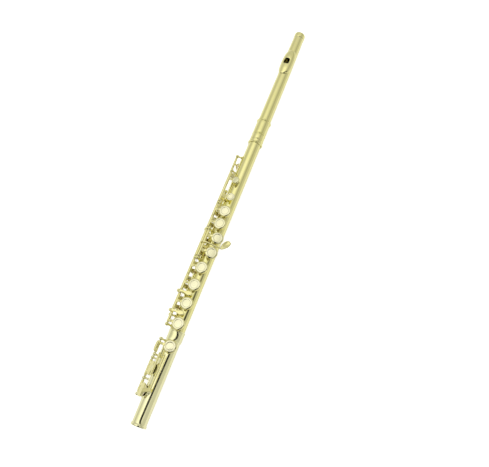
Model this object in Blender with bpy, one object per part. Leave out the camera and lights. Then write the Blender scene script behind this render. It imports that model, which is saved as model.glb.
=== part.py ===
"""Concert flute: head joint, body joint and foot joint with a closed-hole key mechanism.

The tube lies along X. X runs from the open end of the foot to the crown, Y points to the player's side, where
the hinge rods run, and Z points up through the main row of keys. Lengths are in metres. An angle round the tube
is measured from +Z towards +Y.
"""

import math
from collections import namedtuple

import bmesh
import bpy
from mathutils import Matrix, Vector

MM = 0.001

# Running gap kept between pieces that seat on or run in each other
CLEARANCE = 0.3 * MM

# Tube
BORE_RADIUS = 9.5 * MM
TUBE_WALL = 0.4 * MM
CROWN_BORE_RADIUS = 8.5 * MM

# Scale that spaces the tone holes. The small holes and the lowest one stand further up than it puts them,
# the mouth hole further down.
SCALE_LENGTH = 660.15 * MM
SMALL_HOLE_SHIFT = 14.3 * MM
LOWEST_HOLE_SHIFT = 6.0 * MM
MOUTH_CORRECTION = 58.05 * MM

# Lengths of the plain runs and fittings along the tube
FOOT_END_BEAD = 4.0 * MM
FOOT_SOCKET_BEAD = 10.0 * MM
SOCKET_FLOOR_OFFSET = 2.0 * MM
BARREL_OFFSET = 30.6 * MM
BARREL_LENGTH = 49.0 * MM
BARREL_SEAT = 14.0 * MM
TENON_GAP = 1.0 * MM
STRAIGHT_HEAD = 13.0 * MM
CLOSED_HEAD = 57.9 * MM
CROWN_LENGTH = 10.9 * MM

# Sleeves and beads
SLEEVE_WALL = 0.8 * MM
BEAD_HEIGHT = 0.7 * MM
BEAD_BEVEL = 0.8 * MM
BARREL_BEAD_LENGTHS = (8.0 * MM, 11.0 * MM)
FOOT_END_BEAD_HEIGHT = 0.9 * MM

# Lip plate and embouchure
LIP_ANGLE = math.radians(14.0)
LIP_HALF_LENGTH = 25.0 * MM
LIP_HALF_WIDTH = 15.5 * MM
LIP_THICKNESS = 0.9 * MM
LIP_HEIGHT = 3.4 * MM
LIP_EDGE_DROP = 1.3 * MM
EMBOUCHURE_HALF_LENGTH = 6.0 * MM
EMBOUCHURE_HALF_WIDTH = 5.0 * MM
RISER_WALL = 1.2 * MM

# Stopper and crown
STOPPER_OFFSET = 17.3 * MM
CORK_LENGTH = 16.0 * MM
STOPPER_PLATE = 1.0 * MM
STOPPER_SCREW_RADIUS = 1.5 * MM
CROWN_PLUG_LENGTH = 8.0 * MM
CROWN_RADIUS = 9.3 * MM
CROWN_FACE_RADIUS = 6.0 * MM
CROWN_HOLE_DEPTH = 4.5 * MM
STOPPER_TRAVEL = 1.0 * MM

# Tone holes: drawn chimneys that the pads close
CHIMNEY_HEIGHT = 2.0 * MM
CHIMNEY_WALL = 0.5 * MM
LARGE_HOLE_RADIUS = 6.7 * MM
SMALL_HOLE_RADIUS = 3.6 * MM

# Key cups and pads
CUP_RADIUS = 9.0 * MM
BACK_CUP_RADIUS = 7.6 * MM
BACK_HOLE_RADIUS = 5.6 * MM
SMALL_CUP_RADIUS = 5.75 * MM
CUP_WALL = 0.5 * MM
CUP_FLOOR = 0.8 * MM
CUP_RING_HEIGHT = 0.45 * MM
CUP_SKIRT = 1.4 * MM
PAD_THICKNESS = 2.4 * MM
KEY_OPENING = 2.2 * MM
ARM_WIDTH = 4.6 * MM
ARM_THICKNESS = 1.3 * MM
C_TOUCH_SHIFT = 4.0 * MM
C_TOUCH_RADIUS = 6.0 * MM

# Hinge rods
STEEL_RADIUS = 1.1 * MM
HINGE_TUBE_RADIUS = 2.0 * MM
TRILL_TUBE_RADIUS = 1.75 * MM
POST_BALL_RADIUS = 2.6 * MM
POST_FOOT_RADIUS = 1.7 * MM
POST_NECK_RADIUS = 1.2 * MM
RIB_THICKNESS = 1.0 * MM
RIB_WIDTH = 3.8 * MM
END_POST_OFFSET = 15.6 * MM
TRILL_POST_OFFSET = 10.5 * MM
TRILL_LOW_OFFSET = 5.0 * MM
THUMB_POST_OFFSET = 22.0 * MM
FOOT_POST_OFFSET = 13.5 * MM
FOOT_LOW_POST_OFFSET = 7.0 * MM
HINGE_RADIUS = 19.2 * MM
TRILL_HINGE_RADIUS = 18.2 * MM

# Levers and finger touches
LEVER_WIDTH = 3.4 * MM
TRILL_LEVER_WIDTH = 3.0 * MM
TRILL_SWING_GAP = 2.0 * MM
TRILL_TOUCH_WIDTH = 6.4 * MM
TRILL_TOUCH_LENGTH = 10.5 * MM
GSHARP_TOUCH_WIDTH = 9.5 * MM
GSHARP_TOUCH_START = 14.0 * MM
GSHARP_TOUCH_LENGTH = 8.5 * MM
GSHARP_TOUCH_SKEW = 15.0 * MM
GSHARP_TOUCH_DROP = 6.0 * MM
THUMB_TOUCH_WIDTH = 8.5 * MM
THUMB_TOUCH_LENGTH = 20.0 * MM
FOOT_TOUCH_REACH = 3.2 * MM
TOUCH_BAR_RADIUS = 1.5 * MM
TOUCH_BAR_DISTANCE = 22.5 * MM
TOUCH_BAR_OVERHANG = 9.0 * MM
TOUCH_BAR_GAP = 3.0 * MM

# Share of the way round from a rib to a hinge line at which a post stands on its rib
POST_LEAN = 0.25

# Share of a cup's radius at which the stalk of a touch bar stands off its middle
STALK_ROOT = 0.75

# Outline of the G sharp touch: shares of its length and of its width
GSHARP_TOUCH_OUTLINE = ((0.0, 0.4), (0.26, 0.8), (0.56, 1.0), (0.83, 0.85), (1.0, 0.4))

# Squareness of the lip plate and of its hole: 2 is an ellipse
OVAL_POWER = 2.7

# Outline of a trill touch: shares of its length, of an arm's thickness above the cups and of its width
TRILL_TOUCH_OUTLINE = ((0.0, 0.5, 0.53), (0.3, 0.8, 0.88), (0.76, 0.8, 1.0), (1.0, 0.5, 0.47))

# Facets round the turned pieces
TUBE_SIDES = 32
CHIMNEY_SIDES = 16
CUP_SIDES = 14
SMALL_CUP_SIDES = 10
ROD_SIDES = 8
POST_SIDES = 8
LIP_SIDES = 24

# Angles of the key rows and of the hinge lines that serve them
FRONT_ANGLE = 0.0
OFFSET_G_ANGLE = math.radians(-16.7)
SMALL_HOLE_ANGLE = math.radians(11.0)
GSHARP_ANGLE = math.radians(128.0)
TRILL_ANGLE = math.radians(125.0)
THUMB_ANGLE = math.radians(180.0)
FOOT_DSHARP_ANGLE = math.radians(-3.0)
FOOT_ROW_ANGLE = math.radians(48.0)
HINGE_SWING = math.radians(55.0)
TRILL_HINGE_ANGLE = math.radians(75.7)
RIB_ANGLE = math.radians(61.5)
FOOT_DSHARP_RIB_ANGLE = math.radians(58.0)
CSHARP_BAR_ANGLE = math.radians(7.0)
C_BAR_ANGLE = math.radians(-10.0)

TUBE_RADIUS = BORE_RADIUS + TUBE_WALL
RIM_HEIGHT = TUBE_RADIUS + CHIMNEY_HEIGHT
PAD_BOTTOM = RIM_HEIGHT + CLEARANCE
PAD_TOP = PAD_BOTTOM + PAD_THICKNESS
CUP_INSIDE = PAD_TOP + CLEARANCE
CUP_TOP = CUP_INSIDE + CUP_FLOOR
BALL_REACH = POST_BALL_RADIUS + CLEARANCE
STEEL_BORE = STEEL_RADIUS + CLEARANCE
SLEEVE_BORE = TUBE_RADIUS + CLEARANCE
SLEEVE_RADIUS = SLEEVE_BORE + SLEEVE_WALL
RIB_BOTTOM = TUBE_RADIUS + CLEARANCE
RIB_TOP = RIB_BOTTOM + RIB_THICKNESS
LARGE_CHIMNEY_RADIUS = LARGE_HOLE_RADIUS + CHIMNEY_WALL

Line = namedtuple("Line", "radius angle")
MAIN_LINE = Line(HINGE_RADIUS, FRONT_ANGLE + HINGE_SWING)
G_LINE = Line(HINGE_RADIUS, OFFSET_G_ANGLE + HINGE_SWING)
TRILL_LINE = Line(TRILL_HINGE_RADIUS, TRILL_HINGE_ANGLE)
THUMB_LINE = Line(HINGE_RADIUS, THUMB_ANGLE - HINGE_SWING)
FOOT_DSHARP_LINE = Line(HINGE_RADIUS, FOOT_DSHARP_ANGLE + HINGE_SWING)
FOOT_LINE = Line(HINGE_RADIUS, FOOT_ROW_ANGLE + HINGE_SWING)

Cup = namedtuple("Cup", "x angle radius hole sides")


def tone_hole_x(semitone):
    """Place of the hole that sounds this many semitones above the lowest note."""
    return SCALE_LENGTH * (1.0 - 2.0 ** (-semitone / 12.0))


def polar(x, radius, angle):
    """Point at a radius and an angle round the tube."""
    return Vector((x, radius * math.sin(angle), radius * math.cos(angle)))


def on_line(line, x=0.0):
    """Point on a hinge line."""
    return polar(x, line.radius, line.angle)


def radial_frame(x, angle):
    """Frame whose Z points straight out of the tube at an angle."""
    return Matrix.Translation((x, 0.0, 0.0)) @ Matrix.Rotation(-angle, 4, "X")


ALONG_X = Matrix.Rotation(math.radians(90.0), 4, "Y")

FOOT_CSHARP_HOLE = Cup(tone_hole_x(2), FOOT_ROW_ANGLE, CUP_RADIUS, LARGE_HOLE_RADIUS, CUP_SIDES)
FOOT_C_HOLE = FOOT_CSHARP_HOLE._replace(x=tone_hole_x(1) + LOWEST_HOLE_SHIFT)
FOOT_DSHARP_HOLE = FOOT_C_HOLE._replace(x=tone_hole_x(3), angle=FOOT_DSHARP_ANGLE)
D_HOLE = FOOT_C_HOLE._replace(x=tone_hole_x(4), angle=FRONT_ANGLE)
E_HOLE = D_HOLE._replace(x=tone_hole_x(5))
F_HOLE = D_HOLE._replace(x=tone_hole_x(6))
FSHARP_HOLE = D_HOLE._replace(x=tone_hole_x(7))
G_LOWER_HOLE = D_HOLE._replace(x=tone_hole_x(8), angle=OFFSET_G_ANGLE)
G_UPPER_HOLE = G_LOWER_HOLE._replace(x=tone_hole_x(9))
A_HOLE = D_HOLE._replace(x=tone_hole_x(10))
BFLAT_HOLE = D_HOLE._replace(x=tone_hole_x(11))
GSHARP_HOLE = Cup(tone_hole_x(8), GSHARP_ANGLE, BACK_CUP_RADIUS, BACK_HOLE_RADIUS, CUP_SIDES)
THUMB_HOLE = GSHARP_HOLE._replace(x=tone_hole_x(12), angle=THUMB_ANGLE)
C_HOLE = Cup(
    tone_hole_x(13) + SMALL_HOLE_SHIFT, SMALL_HOLE_ANGLE, SMALL_CUP_RADIUS, SMALL_HOLE_RADIUS, SMALL_CUP_SIDES
)
D_TRILL_HOLE = C_HOLE._replace(x=tone_hole_x(14) + SMALL_HOLE_SHIFT, angle=TRILL_ANGLE)
DSHARP_TRILL_HOLE = C_HOLE._replace(x=tone_hole_x(15) + SMALL_HOLE_SHIFT, angle=TRILL_ANGLE)
C_TOUCH_X = THUMB_HOLE.x + C_TOUCH_SHIFT

BODY_HOLES = (
    D_HOLE, E_HOLE, F_HOLE, FSHARP_HOLE, G_LOWER_HOLE, G_UPPER_HOLE, A_HOLE, BFLAT_HOLE,
    GSHARP_HOLE, THUMB_HOLE, C_HOLE, D_TRILL_HOLE, DSHARP_TRILL_HOLE,
)
FOOT_HOLES = (FOOT_C_HOLE, FOOT_CSHARP_HOLE, FOOT_DSHARP_HOLE)


def between(one, other):
    """Halfway along the tube between two stations."""
    return 0.5 * (one + other)


# Stations along the tube, from the open end of the foot
FOOT_SOCKET_END_X = D_HOLE.x - LARGE_CHIMNEY_RADIUS - CLEARANCE
BODY_END_X = FOOT_DSHARP_HOLE.x + LARGE_CHIMNEY_RADIUS + SOCKET_FLOOR_OFFSET
BARREL_START_X = DSHARP_TRILL_HOLE.x + TRILL_POST_OFFSET + BARREL_OFFSET
BARREL_END_X = BARREL_START_X + BARREL_LENGTH
BODY_TOP_X = BARREL_START_X + BARREL_SEAT
HEAD_TENON_X = BODY_TOP_X + TENON_GAP
TAPER_START_X = BARREL_END_X + STRAIGHT_HEAD
EMBOUCHURE_X = SCALE_LENGTH - MOUTH_CORRECTION
STOPPER_FACE_X = EMBOUCHURE_X + STOPPER_OFFSET
HEAD_END_X = EMBOUCHURE_X + CLOSED_HEAD
CROWN_END_X = HEAD_END_X + CROWN_LENGTH

# Posts that carry the hinge rods, by their places along the tube
TOP_POST_X = C_HOLE.x + END_POST_OFFSET
C_POST_X = between(C_TOUCH_X, BFLAT_HOLE.x)
A_POST_X = between(A_HOLE.x, G_UPPER_HOLE.x)
G_POST_X = between(G_LOWER_HOLE.x, FSHARP_HOLE.x)
F_POST_X = between(F_HOLE.x, E_HOLE.x)
D_POST_X = FOOT_SOCKET_END_X + BALL_REACH
TRILL_POST_TOP_X = DSHARP_TRILL_HOLE.x + TRILL_POST_OFFSET
TRILL_POST_LOW_X = between(E_HOLE.x, D_HOLE.x) - TRILL_LOW_OFFSET
THUMB_POST_LOW_X = THUMB_HOLE.x - END_POST_OFFSET
THUMB_POST_TOP_X = THUMB_HOLE.x + THUMB_POST_OFFSET
FOOT_DSHARP_POSTS = (FOOT_DSHARP_HOLE.x - END_POST_OFFSET, BODY_END_X - 2.0 * POST_FOOT_RADIUS)
FOOT_POST_TOP_X = FOOT_CSHARP_HOLE.x + FOOT_POST_OFFSET
FOOT_POST_MID_X = between(FOOT_CSHARP_HOLE.x, FOOT_C_HOLE.x)
FOOT_POST_LOW_X = FOOT_C_HOLE.x - FOOT_LOW_POST_OFFSET


def clear_scene():
    for old in list(bpy.data.objects):
        bpy.data.objects.remove(old, do_unlink=True)


def make_material(name, colour, roughness, metallic):
    material = bpy.data.materials.new(name)
    material.use_nodes = True
    shader = material.node_tree.nodes["Principled BSDF"]
    shader.inputs["Base Color"].default_value = (*colour, 1.0)
    shader.inputs["Roughness"].default_value = roughness
    shader.inputs["Metallic"].default_value = metallic
    material.diffuse_color = (*colour, 1.0)
    return material


def to_mesh(work):
    """Closes a working mesh with its faces pointing out."""
    bmesh.ops.recalc_face_normals(work, faces=work.faces)
    mesh = bpy.data.meshes.new("shape")
    work.to_mesh(mesh)
    work.free()
    return mesh


def turned(profile, sides, frame):
    """Turns a profile of (radius, height) points round the frame's Z. A radius of zero closes on the axis."""
    work = bmesh.new()
    rings = []
    for radius, height in profile:
        if radius == 0.0:
            rings.append([work.verts.new(frame @ Vector((0.0, 0.0, height)))])
            continue
        ring = []
        for step in range(sides):
            turn = math.tau * step / sides
            point = Vector((radius * math.cos(turn), radius * math.sin(turn), height))
            ring.append(work.verts.new(frame @ point))
        rings.append(ring)
    pairs = list(zip(rings, rings[1:]))
    if profile[0][0] > 0.0:
        pairs.append((rings[-1], rings[0]))
    for lower, upper in pairs:
        for step in range(sides):
            corners = [lower[step % len(lower)], lower[(step + 1) % len(lower)]]
            corners += [upper[(step + 1) % len(upper)], upper[step % len(upper)]]
            work.faces.new(list(dict.fromkeys(corners)))
    return to_mesh(work)


def plug(radius, height, sides, frame):
    """Solid round bar from the frame's origin up its Z."""
    return turned([(0.0, 0.0), (radius, 0.0), (radius, height), (0.0, height)], sides, frame)


def rod(start, end, radius, sides):
    """Solid round bar along X between two stations of a line through the origin."""
    return turned([(0.0, start), (radius, start), (radius, end), (0.0, end)], sides, ALONG_X)


def taper(foot, head, foot_radius, head_radius, sides):
    """Solid tapered bar between two points."""
    along = head - foot
    frame = Matrix.Translation(foot) @ along.to_track_quat("Z", "Y").to_matrix().to_4x4()
    profile = [(0.0, 0.0), (foot_radius, 0.0), (head_radius, along.length), (0.0, along.length)]
    return turned(profile, sides, frame)


def ball(centre, radius, sides):
    rings = sides // 2
    profile = [(0.0, -radius)]
    for step in range(1, rings):
        turn = math.pi * step / rings
        profile.append((radius * math.sin(turn), -radius * math.cos(turn)))
    profile.append((0.0, radius))
    return turned(profile, sides, Matrix.Translation(centre) @ ALONG_X)


def loft(sections):
    """Closed body through sections that hold the same count of points."""
    work = bmesh.new()
    rings = [[work.verts.new(point) for point in section] for section in sections]
    count = len(rings[0])
    for lower, upper in zip(rings, rings[1:]):
        for step in range(count):
            after = (step + 1) % count
            work.faces.new((lower[step], lower[after], upper[after], upper[step]))
    work.faces.new(rings[0])
    work.faces.new(rings[-1])
    return to_mesh(work)


def ribbon(path, thickness, frame=Matrix.Identity(4)):
    """Flat bar along (x, y, z, width) points. Its width runs along X and its thickness across the path."""
    sections = []
    for index, (x, y, z, width) in enumerate(path):
        before = path[max(index - 1, 0)]
        after = path[min(index + 1, len(path) - 1)]
        along = Vector((0.0, after[1] - before[1], after[2] - before[2])).normalized()
        across = Vector((0.0, -along.z, along.y)) * (0.5 * thickness)
        side = Vector((0.5 * width, 0.0, 0.0))
        centre = Vector((x, y, z))
        low, high = centre - across, centre + across
        sections.append([frame @ corner for corner in (low - side, low + side, high + side, high - side)])
    return loft(sections)


def moved(mesh, offset):
    mesh.transform(Matrix.Translation(offset))
    return mesh


def boolean(base, tools, operation):
    """Joins or cuts a mesh with others. The exact solver leaves open seams where these round pieces meet."""
    scene = bpy.context.scene.collection.objects
    target = bpy.data.objects.new("work", base)
    scene.link(target)
    helpers = []
    for tool in tools:
        helper = bpy.data.objects.new("tool", tool)
        scene.link(helper)
        helpers.append(helper)
        step = target.modifiers.new("step", "BOOLEAN")
        step.operation = operation
        step.solver = "MANIFOLD"
        step.object = helper
    evaluated = target.evaluated_get(bpy.context.evaluated_depsgraph_get())
    result = bpy.data.meshes.new_from_object(evaluated)
    for helper in (target, *helpers):
        bpy.data.objects.remove(helper, do_unlink=True)
    return result


def union(base, *tools):
    return boolean(base, tools, "UNION")


def cut(base, *tools):
    return boolean(base, tools, "DIFFERENCE")


def place(name, mesh, material, parent=None):
    """Makes the named sub-part, shaded smooth with its real edges kept sharp."""
    mesh.name = name
    mesh.materials.clear()
    mesh.materials.append(material)
    mesh.shade_smooth()
    mesh.set_sharp_from_angle(angle=math.radians(35.0))
    piece = bpy.data.objects.new(name, mesh)
    piece.parent = parent
    bpy.context.scene.collection.objects.link(piece)
    return piece


def pivot(name, line, swing):
    """Empty on a hinge line, swung to the key's place at rest."""
    axis = bpy.data.objects.new(name, None)
    axis.location = on_line(line)
    axis.rotation_euler = (swing, 0.0, 0.0)
    axis.empty_display_size = HINGE_TUBE_RADIUS
    bpy.context.scene.collection.objects.link(axis)
    return axis


def drilled_tube(outline, bore, holes):
    """Turned tube with drawn chimneys. The outline and the bore are (radius, x) profiles from axis to axis."""
    chimneys = []
    drills = []
    for hole in holes:
        frame = radial_frame(hole.x, hole.angle)
        chimneys.append(plug(hole.hole + CHIMNEY_WALL, RIM_HEIGHT, hole.sides, frame))
        drills.append(plug(hole.hole, RIM_HEIGHT + CHIMNEY_HEIGHT, hole.sides, frame))
    solid = union(turned(outline, TUBE_SIDES, ALONG_X), *chimneys)
    return cut(solid, turned(bore, TUBE_SIDES, ALONG_X), *drills)


def body_tube():
    outline = [(0.0, BODY_END_X), (TUBE_RADIUS, BODY_END_X), (TUBE_RADIUS, BODY_TOP_X), (0.0, BODY_TOP_X)]
    start, end = BODY_END_X - CLEARANCE, BODY_TOP_X + CLEARANCE
    bore = [(0.0, start), (BORE_RADIUS, start), (BORE_RADIUS, end), (0.0, end)]
    return drilled_tube(outline, bore, BODY_HOLES)


def bead(start, end, radius, height):
    """Raised band with bevelled shoulders, as outline points from its low end to its high end."""
    return [
        (radius, start),
        (radius + height, start + BEAD_BEVEL),
        (radius + height, end - BEAD_BEVEL),
        (radius, end),
    ]


def foot_tube():
    socket_floor = BODY_END_X - CLEARANCE
    sleeve_start = FOOT_SOCKET_END_X - FOOT_SOCKET_BEAD
    foot_rim = TUBE_RADIUS + FOOT_END_BEAD_HEIGHT
    socket_rim = SLEEVE_RADIUS + 0.5 * BEAD_HEIGHT
    outline = [(0.0, 0.0), (foot_rim, 0.0), (foot_rim, FOOT_END_BEAD - BEAD_BEVEL)]
    outline += [(TUBE_RADIUS, FOOT_END_BEAD), (TUBE_RADIUS, socket_floor - BEAD_BEVEL)]
    outline.append((SLEEVE_RADIUS, socket_floor))
    outline += [(SLEEVE_RADIUS, sleeve_start), (socket_rim, sleeve_start + BEAD_BEVEL)]
    outline += [(socket_rim, FOOT_SOCKET_END_X), (0.0, FOOT_SOCKET_END_X)]
    bore = [(0.0, -CLEARANCE), (BORE_RADIUS, -CLEARANCE), (BORE_RADIUS, socket_floor)]
    bore += [(SLEEVE_BORE, socket_floor), (SLEEVE_BORE, FOOT_SOCKET_END_X + CLEARANCE)]
    bore.append((0.0, FOOT_SOCKET_END_X + CLEARANCE))
    return drilled_tube(outline, bore, FOOT_HOLES)


def barrel():
    low_bead, high_bead = BARREL_BEAD_LENGTHS
    profile = bead(BARREL_START_X, BARREL_START_X + low_bead, SLEEVE_RADIUS, BEAD_HEIGHT)
    profile += bead(BARREL_END_X - high_bead, BARREL_END_X, SLEEVE_RADIUS, BEAD_HEIGHT)
    profile += [(SLEEVE_BORE, BARREL_END_X), (SLEEVE_BORE, BARREL_START_X)]
    return turned(profile, TUBE_SIDES, ALONG_X)


def head_bore(x):
    """Bore of the head joint: straight, then narrowing along a parabola to the crown."""
    if x <= TAPER_START_X:
        return BORE_RADIUS
    share = (x - TAPER_START_X) / (HEAD_END_X - TAPER_START_X)
    return BORE_RADIUS + (CROWN_BORE_RADIUS - BORE_RADIUS) * share * share


def head_radius(x):
    return head_bore(x) + TUBE_WALL


def lip_point(x_offset, arc, height):
    """Point over the head tube, at an arc length round it from the embouchure and a height above it."""
    x = EMBOUCHURE_X + x_offset
    return polar(x, head_radius(x) + height, LIP_ANGLE + arc / (head_radius(x) + LIP_HEIGHT))


def oval(half_length, half_width, turn):
    """Point of a squared oval."""
    power = 2.0 / OVAL_POWER
    along = math.copysign(abs(math.cos(turn)) ** power, math.cos(turn))
    across = math.copysign(abs(math.sin(turn)) ** power, math.sin(turn))
    return half_length * along, half_width * across


def head_tube():
    stations = [HEAD_TENON_X, TAPER_START_X]
    steps = 3
    for step in range(1, steps + 1):
        stations.append(TAPER_START_X + (HEAD_END_X - TAPER_START_X) * step / steps)
    profile = [(head_radius(x), x) for x in stations]
    profile += [(head_bore(x), x) for x in reversed(stations)]
    sections = []
    for height in (-TUBE_RADIUS, LIP_HEIGHT):
        section = []
        for step in range(CHIMNEY_SIDES):
            turn = math.tau * step / CHIMNEY_SIDES
            along, across = oval(EMBOUCHURE_HALF_LENGTH, EMBOUCHURE_HALF_WIDTH, turn)
            point = Vector((EMBOUCHURE_X + along, across, TUBE_RADIUS + height))
            section.append(Matrix.Rotation(-LIP_ANGLE, 4, "X") @ point)
        sections.append(section)
    return cut(turned(profile, TUBE_SIDES, ALONG_X), loft(sections))


def lip_plate():
    """Curved plate round the embouchure hole, dished towards its edge."""
    shares = (0.0, 0.15, 0.5, 0.85, 1.0)
    work = bmesh.new()
    rings = []
    for lift, order in ((LIP_HEIGHT, shares), (LIP_HEIGHT - LIP_THICKNESS, shares[::-1])):
        for share in order:
            half_length = EMBOUCHURE_HALF_LENGTH + (LIP_HALF_LENGTH - EMBOUCHURE_HALF_LENGTH) * share
            half_width = EMBOUCHURE_HALF_WIDTH + (LIP_HALF_WIDTH - EMBOUCHURE_HALF_WIDTH) * share
            height = lift - LIP_EDGE_DROP * share ** 3
            ring = []
            for step in range(LIP_SIDES):
                along, across = oval(half_length, half_width, math.tau * step / LIP_SIDES)
                ring.append(work.verts.new(lip_point(along, across, height)))
            rings.append(ring)
    for lower, upper in zip(rings, rings[1:] + rings[:1]):
        for step in range(LIP_SIDES):
            after = (step + 1) % LIP_SIDES
            work.faces.new((lower[step], lower[after], upper[after], upper[step]))
    return to_mesh(work)


def embouchure_riser():
    """Short oval wall between the head tube and the lip plate."""
    top = LIP_HEIGHT - LIP_THICKNESS - CLEARANCE
    work = bmesh.new()
    rings = []
    for wall, height in ((0.0, CLEARANCE), (RISER_WALL, CLEARANCE), (RISER_WALL, top), (0.0, top)):
        ring = []
        for step in range(CHIMNEY_SIDES):
            turn = math.tau * step / CHIMNEY_SIDES
            along, across = oval(EMBOUCHURE_HALF_LENGTH + wall, EMBOUCHURE_HALF_WIDTH + wall, turn)
            ring.append(work.verts.new(lip_point(along, across, height)))
        rings.append(ring)
    for lower, upper in zip(rings, rings[1:] + rings[:1]):
        for step in range(CHIMNEY_SIDES):
            after = (step + 1) % CHIMNEY_SIDES
            work.faces.new((lower[step], lower[after], upper[after], upper[step]))
    return to_mesh(work)


def crown():
    plug_start = HEAD_END_X - CROWN_PLUG_LENGTH
    shoulder = HEAD_END_X + CLEARANCE
    plug_radius = CROWN_BORE_RADIUS - CLEARANCE
    hole = STOPPER_SCREW_RADIUS + CLEARANCE
    length = CROWN_END_X - shoulder
    hole_end = shoulder + CROWN_HOLE_DEPTH
    profile = [(0.0, hole_end), (hole, hole_end), (hole, plug_start)]
    profile += [(plug_radius, plug_start), (plug_radius, shoulder)]
    profile += bead(shoulder, shoulder + 0.25 * length, CROWN_RADIUS, BEAD_HEIGHT)
    profile += [(0.94 * CROWN_RADIUS, shoulder + 0.5 * length), (CROWN_RADIUS, shoulder + 0.8 * length)]
    profile += [(0.94 * CROWN_RADIUS, shoulder + 0.94 * length), (CROWN_FACE_RADIUS, CROWN_END_X)]
    profile.append((0.0, CROWN_END_X))
    return turned(profile, TUBE_SIDES // 2, ALONG_X)


def stopper_cork():
    start = STOPPER_FACE_X + STOPPER_PLATE + CLEARANCE
    end = start + CORK_LENGTH
    hole = STOPPER_SCREW_RADIUS + CLEARANCE
    low_radius, high_radius = head_bore(start) - CLEARANCE, head_bore(end) - CLEARANCE
    profile = [(hole, start), (low_radius, start), (high_radius, end), (hole, end)]
    return turned(profile, TUBE_SIDES // 2, ALONG_X)


def stopper_screw():
    """Metal face of the stopper with the screw that the crown draws."""
    end = HEAD_END_X + CROWN_HOLE_DEPTH - STOPPER_TRAVEL
    face = head_bore(STOPPER_FACE_X + STOPPER_PLATE) - 2.0 * CLEARANCE
    back = STOPPER_FACE_X + STOPPER_PLATE
    profile = [(0.0, STOPPER_FACE_X), (face, STOPPER_FACE_X), (face, back)]
    profile += [(STOPPER_SCREW_RADIUS, back), (STOPPER_SCREW_RADIUS, end), (0.0, end)]
    return turned(profile, TUBE_SIDES // 2, ALONG_X)


def stopper_washer():
    start = STOPPER_FACE_X + STOPPER_PLATE + CORK_LENGTH + 2.0 * CLEARANCE
    end = start + STOPPER_PLATE
    hole = STOPPER_SCREW_RADIUS + CLEARANCE
    edge = head_bore(end) - 2.0 * CLEARANCE
    return turned([(hole, start), (edge, start), (edge, end), (hole, end)], TUBE_SIDES // 2, ALONG_X)


def strap(start, end, angle):
    """Rib that lies along the tube, curved to it."""
    half = 0.5 * RIB_WIDTH / RIB_TOP
    turns = (angle - half, angle, angle + half)
    sections = []
    for x in (start, end):
        section = [polar(x, RIB_TOP, turn) for turn in turns]
        section += [polar(x, RIB_BOTTOM, turn) for turn in reversed(turns)]
        sections.append(section)
    return loft(sections)


def post(x, line, foot_angle, ball_radius):
    """Post with a ball head on a hinge line, standing on a rib."""
    head = on_line(line, x)
    lean = (head - polar(x, RIB_TOP, foot_angle)).angle(polar(0.0, RIB_TOP, foot_angle))
    foot = polar(x, between(RIB_BOTTOM, RIB_TOP) + POST_FOOT_RADIUS * math.sin(lean), foot_angle)
    return [
        taper(foot, head, POST_FOOT_RADIUS, POST_NECK_RADIUS, POST_SIDES),
        ball(head, ball_radius, POST_SIDES),
    ]


def rib(start, end, angle, posts):
    """Rib with its posts, drilled for the rods. Each post is (x, line, bore radius)."""
    solids = []
    drills = []
    for x, line, bore in posts:
        ball_radius = POST_BALL_RADIUS - STEEL_BORE + bore
        reach = ball_radius + CLEARANCE
        solids += post(x, line, angle + POST_LEAN * (line.angle - angle), ball_radius)
        drills.append(moved(rod(x - reach, x + reach, bore, ROD_SIDES), on_line(line)))
    return cut(union(strap(start, end, angle), *solids), *drills)


def left_hand_rib():
    trill_bore = TRILL_TUBE_RADIUS + CLEARANCE
    posts = [(x, MAIN_LINE, STEEL_BORE) for x in (TOP_POST_X, C_POST_X, A_POST_X, G_POST_X)]
    posts += [(x, G_LINE, STEEL_BORE) for x in (A_POST_X, G_POST_X)]
    posts += [(TRILL_POST_TOP_X, TRILL_LINE, STEEL_BORE), (A_POST_X, TRILL_LINE, trill_bore)]
    return rib(G_POST_X - BALL_REACH, TRILL_POST_TOP_X + BALL_REACH, RIB_ANGLE, posts)


def right_hand_rib():
    posts = [(F_POST_X, MAIN_LINE, STEEL_BORE), (D_POST_X, MAIN_LINE, STEEL_BORE)]
    posts.append((TRILL_POST_LOW_X, TRILL_LINE, STEEL_BORE))
    end = G_POST_X - BALL_REACH - CLEARANCE
    return rib(FOOT_SOCKET_END_X + CLEARANCE, end, RIB_ANGLE, posts)


def thumb_rib():
    posts = [(x, THUMB_LINE, STEEL_BORE) for x in (THUMB_POST_LOW_X, THUMB_POST_TOP_X)]
    return rib(THUMB_POST_LOW_X - BALL_REACH, THUMB_POST_TOP_X + BALL_REACH, THUMB_LINE.angle, posts)


def foot_dsharp_rib():
    posts = [(x, FOOT_DSHARP_LINE, STEEL_BORE) for x in FOOT_DSHARP_POSTS]
    low, high = FOOT_DSHARP_POSTS
    return rib(low - POST_FOOT_RADIUS, high + POST_FOOT_RADIUS, FOOT_DSHARP_RIB_ANGLE, posts)


def foot_rib():
    posts = [(x, FOOT_LINE, STEEL_BORE) for x in (FOOT_POST_LOW_X, FOOT_POST_MID_X, FOOT_POST_TOP_X)]
    return rib(FOOT_POST_LOW_X - BALL_REACH, FOOT_POST_TOP_X + BALL_REACH, FOOT_LINE.angle, posts)


def steel(line, start, end):
    return moved(rod(start, end, STEEL_RADIUS, ROD_SIDES), on_line(line))


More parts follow.
